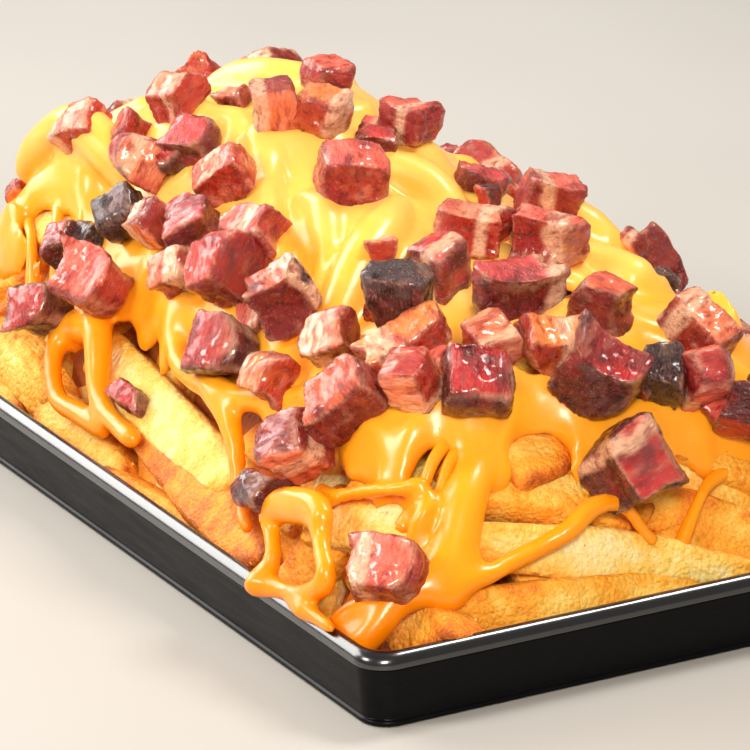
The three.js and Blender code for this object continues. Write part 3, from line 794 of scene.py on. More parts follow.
def pour_blanket(field, fries):
    """Puts the blanket into the field, and gives the height of what it lies on at each place."""
    grid_x, grid_y, grid_z = field.axes
    x, y = np.meshgrid(grid_x, grid_y, indexing="ij")
    bare = skin(x, y)
    deepest, highest = 6, 7
    loose, close = 3.4, 1.4
    thinnest, thickest = 0.9, 4.4
    tops = np.maximum(height_map(points_of(fries.data), grid_x, grid_y), bare - deepest)
    tops = np.minimum(tops, bare + highest)
    drape = np.maximum(blurred(tops, loose), blurred(tops, close) - 1)
    flat = np.stack([x.ravel(), y.ravel(), np.zeros(x.size)], axis=1)
    swell = (0.8 * noise(flat, 22, 23) + 0.55 * noise(flat, 9, 24)).reshape(x.shape)
    cover = sauce_cover(x, y)
    lip = 1.1 * np.exp(-((cover - 2.5) / 3.5) ** 2)
    half = np.clip(2 + swell + lip, thinnest, thickest)
    steep = np.maximum(skin_normal(x, y)[..., 2], 0.5)
    drape = drape + fitted_to_bacon(drape + half * 1.75 / steep, x, y, steep)
    slope = np.gradient(drape, SAUCE_STEP)
    steep = 1 / np.sqrt(1 + slope[0] ** 2 + slope[1] ** 2)
    middle = drape + (half * 0.75) / np.maximum(steep, 0.5)
    beyond = np.maximum(half - cover / np.maximum(steep, 0.45), 0)
    off = (grid_z[None, None] - middle[..., None]) * steep[..., None]
    field.values[:] = np.hypot(beyond[..., None], off) - half[..., None]
    return drape


def hang_thread(field, points, draped):
    """A thread's path between two places on the blanket, with its ends blended into the field."""
    first, last = (draped(x, y, 0)[2] for x, y, _, _ in (points[0], points[-1]))
    hung = []
    for i, (x, y, lift, radius) in enumerate(points):
        z = first + (last - first) * i / (len(points) - 1) + lift
        if 0 < i < len(points) - 1:
            z = max(z, draped(x, y, radius)[2])
        hung.append((x, y, z, radius))
    curve = along_curve(hung, 5)
    for end in (curve[:4], curve[-4:]):
        field.add_strand(end, 2.4)
    return curve


def make_sauce(fries):
    """The blanket with its ribbons and hanging strands as one piece, and the paths of the threads."""
    field = Field(SAUCE_LOW, SAUCE_HIGH, SAUCE_STEP)
    drape = pour_blanket(field, fries)

    def draped(x, y, distance):
        column = int(round((x - SAUCE_LOW[0]) / SAUCE_STEP))
        row = int(round((y - SAUCE_LOW[1]) / SAUCE_STEP))
        out = skin_normal(np.float64(x), np.float64(y))
        return np.array([x, y, drape[column, row] + distance / out[2]])

    for points in RIBBONS.values():
        path = [(*draped(x, y, distance), radius) for x, y, distance, radius in points]
        field.add_strand(along_curve(path, 4), 2.2)
    for points in HANGING.values():
        field.add_strand(along_curve(points, 4), 1.6)
    threads = [hang_thread(field, points, draped) for points in THREADS.values()]
    points, quads = field.surface()
    points[:, 2] = np.minimum(points[:, 2], cad_high.z / MM + 2)
    piece = new_piece("cheese_blanket", points, quads)
    move_points(piece.data, eased(points, edges_of(piece.data), 3, 0.6))
    return piece, threads


# Trees that follow a path or spread small things over a surface

def new_tree(name, sockets):
    tree = bpy.data.node_groups.new(name, "GeometryNodeTree")
    for label, kind in [("Geometry", "NodeSocketGeometry")] + sockets:
        tree.interface.new_socket(label, in_out="INPUT", socket_type=kind)
    tree.interface.new_socket("Geometry", in_out="OUTPUT", socket_type="NodeSocketGeometry")
    return tree, tree.nodes.new("NodeGroupInput"), tree.nodes.new("NodeGroupOutput")


def put(tree, kind, values=None, **settings):
    """Adds a node with its settings and its sockets' values, which may be other nodes' outputs."""
    node = tree.nodes.new(kind)
    for key, value in settings.items():
        setattr(node, key, value)
    for key, value in (values or {}).items():
        socket = node.inputs[key]
        if isinstance(value, bpy.types.NodeSocket):
            tree.links.new(value, socket)
        else:
            socket.default_value = value
    return node


def ended(tree, given, result, geometry):
    realized = put(tree, "GeometryNodeRealizeInstances", {"Geometry": geometry})
    coated = put(tree, "GeometryNodeSetMaterial",
                 {"Geometry": realized.outputs[0], "Material": given.outputs["Material"]})
    tree.links.new(coated.outputs[0], result.inputs[0])


def thread_tree():
    tree, given, result = new_tree("poured_threads", [
        ("Spacing", "NodeSocketFloat"), ("Sides", "NodeSocketInt"), ("Material", "NodeSocketMaterial"),
    ])
    thick = put(tree, "GeometryNodeInputNamedAttribute", {"Name": "thick"}, data_type="FLOAT")
    curve = put(tree, "GeometryNodeMeshToCurve", {"Mesh": given.outputs["Geometry"]})
    even = put(tree, "GeometryNodeResampleCurve",
               {"Curve": curve.outputs[0], "Length": given.outputs["Spacing"]}, mode="LENGTH")
    ring = put(tree, "GeometryNodeCurvePrimitiveCircle",
               {"Resolution": given.outputs["Sides"], "Radius": 1.0})
    tube = put(tree, "GeometryNodeCurveToMesh",
               {"Curve": even.outputs[0], "Profile Curve": ring.outputs[0],
                "Scale": thick.outputs["Attribute"], "Fill Caps": True})
    soft = put(tree, "GeometryNodeSetShadeSmooth", {"Geometry": tube.outputs[0]})
    ended(tree, given, result, soft.outputs[0])
    return tree


def scatter_tree():
    tree, given, result = new_tree("scattered_grains", [
        ("Density", "NodeSocketFloat"), ("Smallest", "NodeSocketFloat"), ("Largest", "NodeSocketFloat"),
        ("Seed", "NodeSocketInt"), ("Material", "NodeSocketMaterial"),
    ])
    normal = put(tree, "GeometryNodeInputNormal")
    upward = put(tree, "ShaderNodeSeparateXYZ", {"Vector": normal.outputs[0]})
    faces_up = put(tree, "FunctionNodeCompare", {"A": upward.outputs["Z"], "B": 0.15},
                   data_type="FLOAT", operation="GREATER_THAN")
    dots = put(tree, "GeometryNodeDistributePointsOnFaces", {
        "Mesh": given.outputs["Geometry"], "Selection": faces_up.outputs[0],
        "Density": given.outputs["Density"], "Seed": given.outputs["Seed"],
    })
    grain = put(tree, "GeometryNodeMeshIcoSphere", {"Radius": 1.0, "Subdivisions": 1})
    size = put(tree, "FunctionNodeRandomValue",
               {2: given.outputs["Smallest"], 3: given.outputs["Largest"]}, data_type="FLOAT")
    stretch = put(tree, "FunctionNodeRandomValue", {0: (0.7, 0.6, 0.45), 1: (1.5, 1.1, 0.8)},
                  data_type="FLOAT_VECTOR")
    whole = put(tree, "ShaderNodeVectorMath",
                {0: stretch.outputs[0], "Scale": size.outputs[1]}, operation="SCALE")
    full_turn = 6.28
    turn = put(tree, "FunctionNodeRandomValue", {1: (full_turn, full_turn, full_turn)},
               data_type="FLOAT_VECTOR")
    spread = put(tree, "GeometryNodeInstanceOnPoints", {
        "Points": dots.outputs["Points"], "Instance": grain.outputs["Mesh"],
        "Rotation": turn.outputs[0], "Scale": whole.outputs[0],
    })
    ended(tree, given, result, spread.outputs[0])
    return tree


def grown(name, source, tree, **values):
    """A new piece: what a tree makes of a source's mesh with its named inputs set."""
    piece = linked(name, source.copy())
    modifier = piece.modifiers.new("Grow", "NODES")
    modifier.node_group = tree
    for socket in tree.interface.items_tree:
        if socket.in_out == "INPUT" and socket.name in values:
            modifier[socket.identifier] = values[socket.name]
    mesh = evaluated_mesh(piece)
    piece.modifiers.clear()
    piece.data = mesh
    return piece


def make_threads(threads, material):
    points, edges, thick = [], [], []
    for curve in threads:
        start = len(points)
        points.extend(curve[:, :3])
        thick.extend(curve[:, 3] * MM)
        edges.extend([(start + i, start + i + 1) for i in range(len(curve) - 1)])
    mesh = bpy.data.meshes.new("thread_paths")
    mesh.from_pydata((np.array(points) * MM).tolist(), edges, [])
    store(mesh, "thick", thick)
    return grown("cheese_threads", mesh, thread_tree(), Spacing=1 * MM, Sides=14, Material=material)


# The bacon

BACON_NODES = sorted(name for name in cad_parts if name.startswith("bacon_"))

# One letter for each cube, in the order of their nodes: s salmon, p pink, m magenta, r dark red,
# b bright red, o orange, f striped with fat, e browned at the edges, c charred.
BACON_KINDS = "sfoppp" "smppme" "csorcf" "prrpfr" "esrofr" "oebfpm" "fcprsm" "ss" "psrfemosprfsm"


def colour(code):
    """A colour of six hexadecimal digits as linear light."""
    shades = [int(code[i:i + 2], 16) / 255 for i in (0, 2, 4)]
    return np.array([s / 12.92 if s <= 0.04045 else ((s + 0.055) / 1.055) ** 2.4 for s in shades])


FAT = "FFC8A0"
CHAR = "2A0C0A"
CRUST = "7A1A0C"
# The light and the deep colour of each kind, its share of fat and how far it is browned. The light colour is
# painted light on a cube's broad faces and the deep colour painted shade on its other faces; blotches of the
# deep colour are the meat's own tone.
MEAT = dict(
    s=("FF9468", "C02408", 0.3, 0.4), p=("FA6A52", "A60C0C", 0.25, 0.4), m=("E03C38", "78040A", 0.2, 0.5),
    r=("C41A10", "560202", 0.1, 0.55), b=("F0300E", "940400", 0.1, 0.3), o=("FF8A3A", "BC2C06", 0.3, 0.4),
    f=("FF8458", "9C1406", 0.8, 0.5), e=("F06438", "860E04", 0.3, 0.75), c=("6E2620", "2C0C0A", 0, 0.9),
)


def laid_over(shade, code, share):
    """Colours with a share of another colour at each point."""
    return shade * (1 - share)[:, None] + colour(code) * share[:, None]


def remeshed(mesh, voxel):
    piece = linked("chunk", mesh)
    remesh = piece.modifiers.new("Remesh", "REMESH")
    remesh.mode = "VOXEL"
    remesh.voxel_size = voxel * MM
    result = evaluated_mesh(piece)
    bpy.data.objects.remove(piece)
    return result


def merged_copy(mesh):
    work = bmesh.new()
    work.from_mesh(mesh)
    bmesh.ops.remove_doubles(work, verts=work.verts, dist=0.01 * MM)
    copy = bpy.data.meshes.new("merged")
    work.to_mesh(copy)
    work.free()
    return copy


def block_ways(mesh):
    """Three square directions along the flat faces of a block, the largest face first."""
    normals = np.array([polygon.normal for polygon in mesh.polygons])
    areas = np.array([polygon.area for polygon in mesh.polygons])
    alike = (normals @ normals.T > 0.97) @ areas
    first = normals[np.argmax(alike)]
    beside = np.abs(normals @ first) < 0.4
    second = normals[np.argmax(np.where(beside, alike, 0))]
    second = unit(second - first * (second @ first))
    return np.stack([first, second, np.cross(first, second)], axis=1)


def squared_block(points, ways, random):
    """A rounded block's points made squarer, tapered, bent and cut off at one side."""
    squared, tapered, bent = 0.62, 0.26, 0.14
    middle = points.mean(axis=0)
    local = (points - middle) @ ways
    half = np.abs(local).max(axis=0)
    local = local / (np.abs(local) / half).max(axis=1, keepdims=True) ** squared
    for axis in range(3):
        along, beside = local[:, axis] / half[axis], (axis + 1) % 3
        local[:, beside] *= 1 + between(random, -tapered, tapered) * along
        local[:, beside] += half[beside] * between(random, -bent, bent) * (3 * along ** 2 - 1)
    points = middle + local @ ways.T
    way = unit([*pair(random, -1, 1), between(random, -0.3, 1)])
    reach = (points - middle) @ way
    limit = reach.max() * between(random, 0.66, 0.92)
    points = points - way * (np.maximum(reach - limit, 0) * 0.95)[:, None]
    return points, (points - middle) @ ways


def fat_share(fatness, across, spot, stretched, random):
    """How much of each point is fat: a band across the block, if it has one, and fine veins."""
    band = across + 0.16 * noise(spot, 6, 35)
    place = between(random, -0.8, 0.8)
    width = 0.1 + 0.4 * fatness * between(random, 0.5, 1)
    striped = fatness > between(random, 0.02, 0.4)
    fat = smoothstep(width + 0.1, width - 0.04, np.abs(band - place)) * striped
    veins = smoothstep(0.4, 0.75, noise(stretched, 2.6, 36)) * (0.3 + fatness)
    return np.clip(0.8 * fat + 0.35 * veins, 0, 1)


def fried(shade, kind, spot, facing, lit_broad_face, torn):
    """Colours with crust and char laid over edges and outer faces, a painted highlight of pale fat colour on
    the edges that are not browned, and the share of char.
    """
    burnt = MEAT[kind][3]
    edge = smoothstep(0.93, 0.78, facing.max(axis=1))
    bitten = smoothstep(-0.3, 0.6, noise(spot, 4, 37))
    crust = edge * bitten * (0.35 + 0.8 * burnt) + 0.35 * burnt * (1 - lit_broad_face) * np.maximum(torn, 0)
    shade = laid_over(shade, CRUST, 0.85 * np.clip(crust, 0, 1))
    # Painted highlight: the pale fat colour on the edges that the crust leaves bare.
    shade = laid_over(shade, FAT, 0.35 * edge * (1 - bitten))
    char = smoothstep(1.05, 1.4, 0.8 * edge * bitten + 0.6 * burnt + 0.5 * noise(spot, 2.6, 39))
    char = np.clip(char + (0.75 if kind == "c" else 0) * smoothstep(-0.6, 0.3, torn), 0, 1)
    return laid_over(shade, CHAR, 0.85 * char), char


def carve_bacon(mesh, ways, kind, number):
    """Gives a block torn fibres and browned edges, and a colour at each point."""
    random = seeded(900 + number)
    points, local = squared_block(points_of(mesh), ways, random)
    offset = np.array([number * 23.1, number * 7.7, number * 3.3])
    spot = local + offset
    stretched = local * np.array([1, 0.28, 1]) + offset
    fibre = noise(stretched, 2.3, 31)
    torn = noise(spot, 3.4, 33)
    ridges = 1 - 2 * np.abs(fibre)
    relief = 0.5 * noise(spot, 7.5, 32) + 0.35 * torn + 0.32 * ridges + 0.3 * noise(spot, 1.6, 40)
    move_points(mesh, points)
    normals = normals_of(mesh)
    facing = np.abs(normals @ ways)
    move_points(mesh, points + normals * relief[:, None])

    light, deep, fatness, _ = MEAT[kind]
    # Painted light and shade: the broad faces take the light colour and the other faces the deep colour,
    # mixed with blotches and patches of the meat's own tone.
    lit_broad_face = smoothstep(0.55, 0.85, facing[:, 0])
    blotches = 0.6 * noise(spot, 6, 34) + 0.5 * fibre + 0.3 * torn
    patches = smoothstep(0, 0.55, noise(spot, 8, 41))
    depth = np.clip((1 - lit_broad_face) + 0.6 * blotches + 0.75 * patches * lit_broad_face, 0, 1)
    shade = laid_over(colour(light), deep, depth)
    across = local[:, 2] / np.abs(local).max(axis=0)[2]
    shade = laid_over(shade, FAT, fat_share(fatness, across, spot, stretched, random))
    shade, char = fried(shade, kind, spot, facing, lit_broad_face, torn)
    store(mesh, "meat", np.column_stack([shade, np.ones(len(points))]))
    store(mesh, "char", char)
    store(mesh, "fibre", spot * MM)
    mesh.polygons.foreach_set("use_smooth", np.ones(len(mesh.polygons), bool))


def make_bacon():
    cubes = []
    for number, (name, kind) in enumerate(zip(BACON_NODES, BACON_KINDS)):
        block = merged_copy(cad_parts[name].data)
        mesh = remeshed(block, 0.85)
        carve_bacon(mesh, block_ways(block), kind, number)
        cubes.append((linked("chunk_" + name, mesh), name))
    return cubes


# Small bits between the cubes: x, y, length, width, height, turn, kind.
SEEN_BITS = [
    (-52, -17, 9, 7, 7, 20, "f"), (-12, 4, 9, 8, 8, 40, "p"), (-1, 0, 11, 8, 7, 60, "m"),
    (10, 28, 14, 8, 7, 80, "m"), (24, 22, 6, 5, 8, 10, "r"), (40, 17, 13, 5, 6, 70, "s"),
    (36, -55, 13, 10, 9, 30, "p"), (-64, -64, 11, 11, 9, 50, "r"), (-56, -60, 10, 8, 8, 15, "c"),
    (-38, -42, 9, 8, 8, 75, "r"), (-70, -40, 10, 10, 9, 35, "p"), (-113, -57, 6, 5, 5, 60, "o"),
    (-2, -76, 13, 6, 7, 0, "r"), (-36, -70, 8, 5, 5, 25, "c"), (66, -34, 9, 8, 7, 45, "o"),
    (104, -40, 9, 7, 6, 20, "p"), (46, -24, 8, 7, 6, 65, "o"), (128, 8, 9, 8, 8, 30, "r"),
]


def hidden_bits():
    """Bits by rule on the far side, the far end and the top."""
    random = seeded(61)
    count = 34
    insets = (28, 40, 34, 46)
    kinds = "psrfemosprfc"
    bits = []
    for i in range(count):
        ring = outline(insets[i % len(insets)] + between(random, -4, 4), 40, 24, 0)
        x, y = ring[math.floor((0.44 + 0.53 * (i * GOLDEN % 1)) * len(ring))]
        size = between(random, 4.5, 7.5)
        kind = kinds[i % len(kinds)]
        bits.append((x, y, size * between(random, 1, 1.4), size, size * between(random, 0.7, 0.95),
                     between(random, 0, 90), kind))
    return bits


def block_shape(row, ground, number):
    """An uneven block with blunt edges that sinks a little into what lies below it."""
    x, y, long, wide, high, turn, _ = row
    random = seeded(700 + number)
    out = skin_normal(np.float64(x), np.float64(y))
    upward = unit(out + np.array([*pair(random, -0.25, 0.25), 0]))
    angle = math.radians(turn)
    across = unit(np.cross(upward, [math.cos(angle), math.sin(angle), 0]))
    along = np.cross(across, upward)
    sunk = 0.8
    centre = np.array([x, y, ground]) + out * (high / 2 - sunk)
    blunt = 0.66
    corners = [(1, blunt), (blunt, 1), (-blunt, 1), (-1, blunt),
               (-1, -blunt), (-blunt, -1), (blunt, -1), (1, -blunt)]
    rings = []
    for w, size in ((-1, 0.78), (-0.62, 1), (0.6, 1), (1, 0.74)):
        ring = []
        for u, v in corners:
            uneven = size * between(random, 0.8, 1.1)
            lift = w * high / 2 * between(random, 0.85, 1.05)
            level = along * u * uneven * long / 2 + across * v * uneven * wide / 2
            ring.append(centre + level + upward * lift)
        rings.append(np.array(ring))
    return lofted(rings)


def make_bits(ground):
    parts = []
    for number, row in enumerate(SEEN_BITS + hidden_bits()):
        height = ground(row[0], row[1])
        block = new_piece("bit", *block_shape(row, height, number))
        mesh = remeshed(block.data, 0.8)
        carve_bacon(mesh, block_ways(block.data), row[6], 60 + number)
        bpy.data.objects.remove(block)
        parts.append(mesh)
    whole = bpy.data.meshes.new("bacon_bits")
    work = bmesh.new()
    for mesh in parts:
        work.from_mesh(mesh)
    work.to_mesh(whole)
    work.free()
    return linked("bacon_bits", whole)


def ground_under(*pieces):
    """A function that gives the height of what lies below a place."""
    trees = []
    for piece in pieces:
        polygons = [tuple(polygon.vertices) for polygon in piece.data.polygons]
        trees.append(BVHTree.FromPolygons([v.co for v in piece.data.vertices], polygons))
    far_above = 0.3
    down = Vector((0, 0, -1))

    def height(x, y):
        hits = [tree.ray_cast(Vector((x * MM, y * MM, far_above)), down)[0] for tree in trees]
        heights = [hit.z / MM for hit in hits if hit is not None]
        return max(heights) if heights else float(skin(x, y))

    return height


# Materials

def mottle_group():
    """Two sizes of noise on given coordinates: a mask from each, and their sum as a height."""
    group = bpy.data.node_groups.new("mottle", "ShaderNodeTree")
    face = group.interface
    face.new_socket("Vector", in_out="INPUT", socket_type="NodeSocketVector")
    for label in ("Coarse Scale", "Fine Scale", "Fine Share"):
        face.new_socket(label, in_out="INPUT", socket_type="NodeSocketFloat")
    for label in ("Coarse", "Fine", "Height"):
        face.new_socket(label, in_out="OUTPUT", socket_type="NodeSocketFloat")
    given = group.nodes.new("NodeGroupInput")
    result = group.nodes.new("NodeGroupOutput")
    coarse = put(group, "ShaderNodeTexNoise", {"Vector": given.outputs["Vector"],
                                               "Scale": given.outputs["Coarse Scale"], "Detail": 3.0})
    fine = put(group, "ShaderNodeTexNoise", {"Vector": given.outputs["Vector"],
                                             "Scale": given.outputs["Fine Scale"], "Detail": 4.0,
                                             "Roughness": 0.65})
    share = put(group, "ShaderNodeMath", {0: fine.outputs[0], 1: given.outputs["Fine Share"]},
                operation="MULTIPLY")
    height = put(group, "ShaderNodeMath", {0: coarse.outputs[0], 1: share.outputs[0]}, operation="ADD")
    group.links.new(coarse.outputs[0], result.inputs["Coarse"])
    group.links.new(fine.outputs[0], result.inputs["Fine"])
    group.links.new(height.outputs[0], result.inputs["Height"])
    return group


MOTTLE = mottle_group()


def new_material(name, values):
    """A material with a Principled shader and its constant values, and what is needed to add to it."""
    material = bpy.data.materials.new(name)
    material.use_nodes = True
    tree = material.node_tree
    shader = next(node for node in tree.nodes if node.type == "BSDF_PRINCIPLED")
    for key, value in values.items():
        shader.inputs[key].default_value = value
    return material, tree, shader


def mottled(tree, vector, coarse, fine, share):
    """The mottle group on a vector, with its two scales and the share of the finer one."""
    node = put(tree, "ShaderNodeGroup", node_tree=MOTTLE)
    for key, value in (("Coarse Scale", coarse), ("Fine Scale", fine), ("Fine Share", share)):
        node.inputs[key].default_value = value
    tree.links.new(vector, node.inputs["Vector"])
    return node


def ramp(tree, factor, stops):
    """A colour ramp through stops of a place and six hexadecimal digits or a grey."""
    node = tree.nodes.new("ShaderNodeValToRGB")
    elements = node.color_ramp.elements
    while len(elements) < len(stops):
        elements.new(0.5)
    for element, (place, value) in zip(elements, stops):
        element.position = place
        element.color = (*(colour(value) if isinstance(value, str) else (value,) * 3), 1)
    tree.links.new(factor, node.inputs[0])
    return node.outputs[0]


def mixed(tree, factor, first, second, blend="MIX"):
    """Two colours blended by a factor, each a socket or a plain value."""
    node = put(tree, "ShaderNodeMix", data_type="RGBA", blend_type=blend)
    for place, value in ((0, factor), (6, first), (7, second)):
        if isinstance(value, bpy.types.NodeSocket):
            tree.links.new(value, node.inputs[place])
        elif place == 0:
            node.inputs[0].default_value = value
        else:
            node.inputs[place].default_value = (*value, 1)
    return node.outputs[2]


def summed(tree, first, second, share):
    """first + second * share."""
    return put(tree, "ShaderNodeMath", {0: second, 1: share, 2: first}, operation="MULTIPLY_ADD").outputs[0]


def bumped(tree, shader, height, strength, distance):
    bump = put(tree, "ShaderNodeBump", {"Height": height, "Strength": strength, "Distance": distance})
    tree.links.new(bump.outputs[0], shader.inputs["Normal"])


def object_place(tree):
    return put(tree, "ShaderNodeTexCoord").outputs["Object"]


def stored(tree, key, output="Fac"):
    """What the mesh keeps for each point under a name."""
    return put(tree, "ShaderNodeAttribute", attribute_name=key).outputs[output]


def fry_material():
    material, tree, shader = new_material("crisp_fry", {
        "Roughness": 0.55, "Subsurface Weight": 0.2, "Subsurface Radius": (1.0, 0.5, 0.18),
        "Subsurface Scale": 0.004, "Specular IOR Level": 0.4,
    })
    place = object_place(tree)
    brown = stored(tree, "brown")
    grain = mottled(tree, place, 330, 1500, 0.6)
    factor = summed(tree, summed(tree, brown, grain.outputs["Coarse"], 0.35), grain.outputs["Fine"], 0.55)
    tone = ramp(tree, factor, [(0.2, "FFE8A6"), (0.42, "FFCE62"), (0.64, "FBA828"), (0.86, "E67C1C"),
                               (1.0, "B85A14")])
    tree.links.new(tone, shader.inputs["Base Color"])
    rough = ramp(tree, grain.outputs["Fine"], [(0.3, 0.38), (0.7, 0.7)])
    tree.links.new(rough, shader.inputs["Roughness"])
    cells = put(tree, "ShaderNodeTexVoronoi", {"Vector": place, "Scale": 620.0})
    blisters = summed(tree, grain.outputs["Height"], cells.outputs["Distance"], -0.7)
    bumped(tree, shader, blisters, 1.0, 0.0009)
    return material


def sauce_material():
    material, tree, shader = new_material("cheese_sauce", {
        "Roughness": 0.3, "Subsurface Weight": 0.3, "Subsurface Radius": (1.0, 0.45, 0.06),
        "Subsurface Scale": 0.005, "Specular IOR Level": 0.34, "Coat Weight": 0.22, "Coat Roughness": 0.15,
    })
    place = object_place(tree)
    streaks = mottled(tree, place, 45, 700, 0.12)
    height = put(tree, "ShaderNodeSeparateXYZ", {"Vector": place}).outputs["Z"]
    # Painted light: the sauce is painted paler yellow higher up, a painted highlight where the top catches
    # the light, and deeper orange lower down, painted shade.
    painted_light_by_height = put(tree, "ShaderNodeMapRange", {"Value": height, "From Min": 0.02, "From Max": 0.11})
    factor = summed(tree, painted_light_by_height.outputs[0], streaks.outputs["Coarse"], 0.5)
    tone = ramp(tree, factor, [(0.2, "FA8000"), (0.5, "FF9604"), (0.85, "FFAC2C"), (1.0, "FFC058")])
    tree.links.new(tone, shader.inputs["Base Color"])
    bumped(tree, shader, streaks.outputs["Height"], 0.15, 0.0012)
    return material


def bacon_material():
    material, tree, shader = new_material("browned_bacon", {
        "Roughness": 0.35, "Subsurface Weight": 0.12, "Subsurface Radius": (1.0, 0.35, 0.25),
        "Subsurface Scale": 0.002, "Specular IOR Level": 0.5, "Coat Roughness": 0.08,
    })
    meat = stored(tree, "meat", "Color")
    char = stored(tree, "char")
    fibre = stored(tree, "fibre", "Vector")
    along = put(tree, "ShaderNodeMapping", {"Vector": fibre, "Scale": (1.0, 0.4, 1.0)})
    strands = mottled(tree, along.outputs[0], 420, 1500, 0.8)
    cells = put(tree, "ShaderNodeTexVoronoi", {"Vector": along.outputs[0], "Scale": 1100.0})
    # Painted shade: the hollows between the bump's cells are painted darker red.
    painted_pit_shade = ramp(tree, cells.outputs["Distance"], [(0.4, "FFFFFF"), (0.85, "9A4A3C")])
    tone = mixed(tree, 0.3, meat, painted_pit_shade, "MULTIPLY")
    dark = ramp(tree, strands.outputs["Coarse"], [(0.34, "9C3A34"), (0.48, "FFFFFF")])
    tone = mixed(tree, 0.7, tone, dark, "MULTIPLY")
    # Painted glints: pale pink specks painted over the meat.
    pale = ramp(tree, strands.outputs["Fine"], [(0.54, 0.0), (0.7, 0.22)])
    tone = mixed(tree, pale, tone, tuple(colour("FFA684")))
    tree.links.new(tone, shader.inputs["Base Color"])
    wet = summed(tree, ramp(tree, strands.outputs["Fine"], [(0.35, 0.1), (0.7, 0.3)]), char, 0.12)
    tree.links.new(wet, shader.inputs["Roughness"])
    glaze = ramp(tree, strands.outputs["Coarse"], [(0.42, 0.1), (0.56, 0.75)])
    tree.links.new(glaze, shader.inputs["Coat Weight"])
    domes = summed(tree, strands.outputs["Height"], cells.outputs["Distance"], -0.15)
    bumped(tree, shader, domes, 1.0, 0.0014)
    return material


def tray_material():
    material, tree, shader = new_material("black_melamine", {
        "Roughness": 0.3, "Specular IOR Level": 0.1, "Coat Roughness": 0.2, "Coat IOR": 1.8,
    })
    place = object_place(tree)
    height = put(tree, "ShaderNodeSeparateXYZ", {"Vector": place}).outputs["Z"]
    seam = (TRAY["height"] - TRAY["roll"]) * MM
    gloss = put(tree, "ShaderNodeMapRange", {"Value": height, "From Min": seam, "From Max": seam + 0.5 * MM,
                                             "To Min": 0.02, "To Max": 1.0})
    tree.links.new(gloss.outputs[0], shader.inputs["Coat Weight"])
    along = put(tree, "ShaderNodeMapping", {"Vector": place, "Scale": (0.12, 0.12, 1.0)})
    scuffs = mottled(tree, along.outputs[0], 420, 2600, 0.5)
    tone = ramp(tree, scuffs.outputs["Fine"], [(0.35, "030204"), (0.62, "060507"), (0.8, "120D12")])
    tree.links.new(tone, shader.inputs["Base Color"])
    rough = ramp(tree, scuffs.outputs["Height"], [(0.45, 0.22), (0.95, 0.42)])
    tree.links.new(rough, shader.inputs["Roughness"])
    bumped(tree, shader, scuffs.outputs["Height"], 0.12, 0.0003)
    return material


def grain_material(name, low, high):
    material, tree, shader = new_material(name, {"Roughness": 0.55})
    spots = mottled(tree, object_place(tree), 240, 1200, 0.5)
    tone = ramp(tree, spots.outputs["Coarse"], [(0.35, low), (0.65, high)])
    tree.links.new(tone, shader.inputs["Base Color"])
    return material


def floor_material():
    material, tree, shader = new_material("pale_floor", {"Roughness": 0.55, "Specular IOR Level": 0.3})
    cloud = mottled(tree, object_place(tree), 3, 60, 0.2)
    tone = ramp(tree, cloud.outputs["Coarse"], [(0.3, "ABA7A1"), (0.7, "B5B1AB")])
    tree.links.new(tone, shader.inputs["Base Color"])
    return material


# The stage, the lights and the camera

def area_light(name, place, aim, size, power, warmth):
    data = bpy.data.lights.new(name, "AREA")
    data.shape = "RECTANGLE"
    data.size, data.size_y = size
    data.energy = power
    data.color = warmth
    light = linked(name, data)
    light.location = place
    light.rotation_euler = (Vector(aim) - Vector(place)).to_track_quat("-Z", "Y").to_euler()


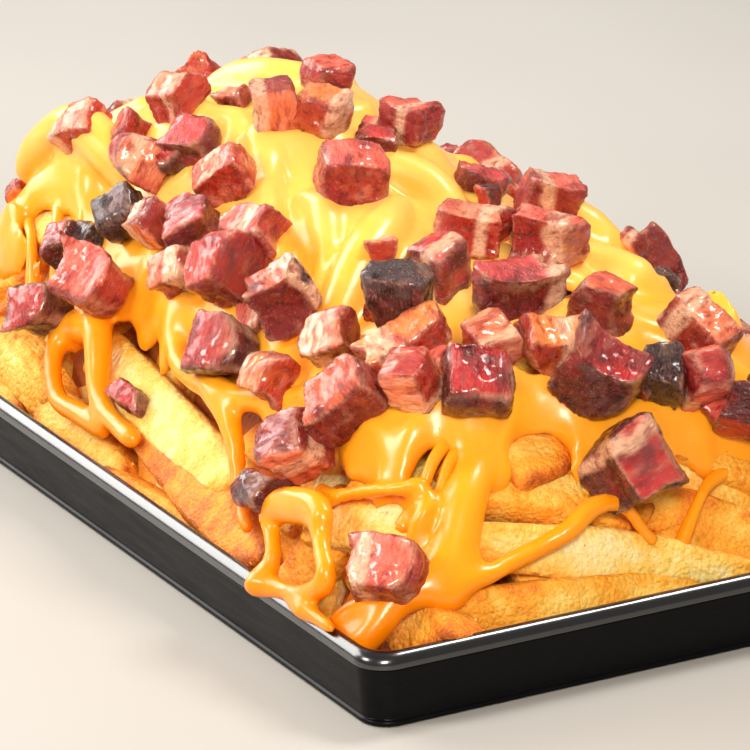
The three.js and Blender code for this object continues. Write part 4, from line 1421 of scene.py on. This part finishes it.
def make_stage():
    half = 4.0
    mesh = bpy.data.meshes.new("floor")
    corners = [(-half, -half, 0), (half, -half, 0), (half, half, 0), (-half, half, 0)]
    mesh.from_pydata(corners, [], [(0, 1, 2, 3)])
    floor = linked("floor", mesh)
    mesh.materials.append(floor_material())
    world = bpy.data.worlds.new("soft_room")
    world.use_nodes = True
    glow = world.node_tree.nodes["Background"]
    glow.inputs["Color"].default_value = (1.0, 0.96, 0.9, 1)
    glow.inputs["Strength"].default_value = 0.3
    bpy.context.scene.world = world
    middle = (0.0, 0.0, 0.05)
    small = (0.3, 0.3)
    area_light("back_box", (-0.95, -0.5, 0.6), middle, (1.1, 0.85), 20, (1, 0.98, 0.95))
    area_light("left_box", (0.0, -1.0, 0.75), middle, small, 7, (1, 0.96, 0.9))
    area_light("top_box", (0.1, 0.5, 1.0), middle, small, 8, (1, 0.98, 0.95))
    area_light("front_box", (1.05, -0.5, 0.75), middle, small, 14, (1, 0.92, 0.82))


# The camera stands where the photograph was taken from, far off with a long lens.
CAMERA_PLACE = Vector((1.4041, -0.7911, 0.6266))
CAMERA_WAY = Vector((-0.817, 0.460, -0.347))
SENSOR = 36.0
LENS = 288.0


def make_camera():
    data = bpy.data.cameras.new("camera")
    data.sensor_width = SENSOR
    data.lens = LENS
    data.clip_start = 0.05
    data.clip_end = 20
    camera = linked("camera", data)
    camera.location = CAMERA_PLACE
    camera.rotation_euler = CAMERA_WAY.to_track_quat("-Z", "Y").to_euler()
    bpy.context.scene.camera = camera


def finish_piece(piece, material, slot, *nodes):
    if material:
        piece.data.materials.clear()
        piece.data.materials.append(material)
    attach(piece, "root")
    if nodes:
        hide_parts(*nodes)


bpy.context.scene.view_settings.view_transform = "Standard"
make_stage()
make_camera()

crisp = fry_material()
poured = sauce_material()
browned = bacon_material()

tray = make_tray()
finish_piece(tray, tray_material(), "tray", "tray")

fries = make_fries()
finish_piece(fries, crisp, "fries", "fries")
finish_piece(make_core(), crisp, "fries", "fries")

sauce, threads = make_sauce(fries)
finish_piece(sauce, poured, "cheese_sauce", "cheese_sauce")
finish_piece(make_threads(threads, poured), None, "cheese_sauce", "cheese_sauce")

for cube, node in make_bacon():
    finish_piece(cube, browned, "bacon", node)
finish_piece(make_bits(ground_under(fries, sauce)), browned, "bacon")

scatter = scatter_tree()
crumbs = grown("fry_crumbs", fries.data, scatter, Density=5200.0, Smallest=0.18 * MM, Largest=0.55 * MM,
               Seed=3, Material=grain_material("crumb", "C98A3A", "F3CF87"))
finish_piece(crumbs, None, "fries")
specks = grown("pepper_specks", sauce.data, scatter, Density=900.0, Smallest=0.1 * MM, Largest=0.24 * MM,
               Seed=5, Material=grain_material("pepper", "2A1A10", "6A3E1E"))
finish_piece(specks, None, "cheese_sauce")
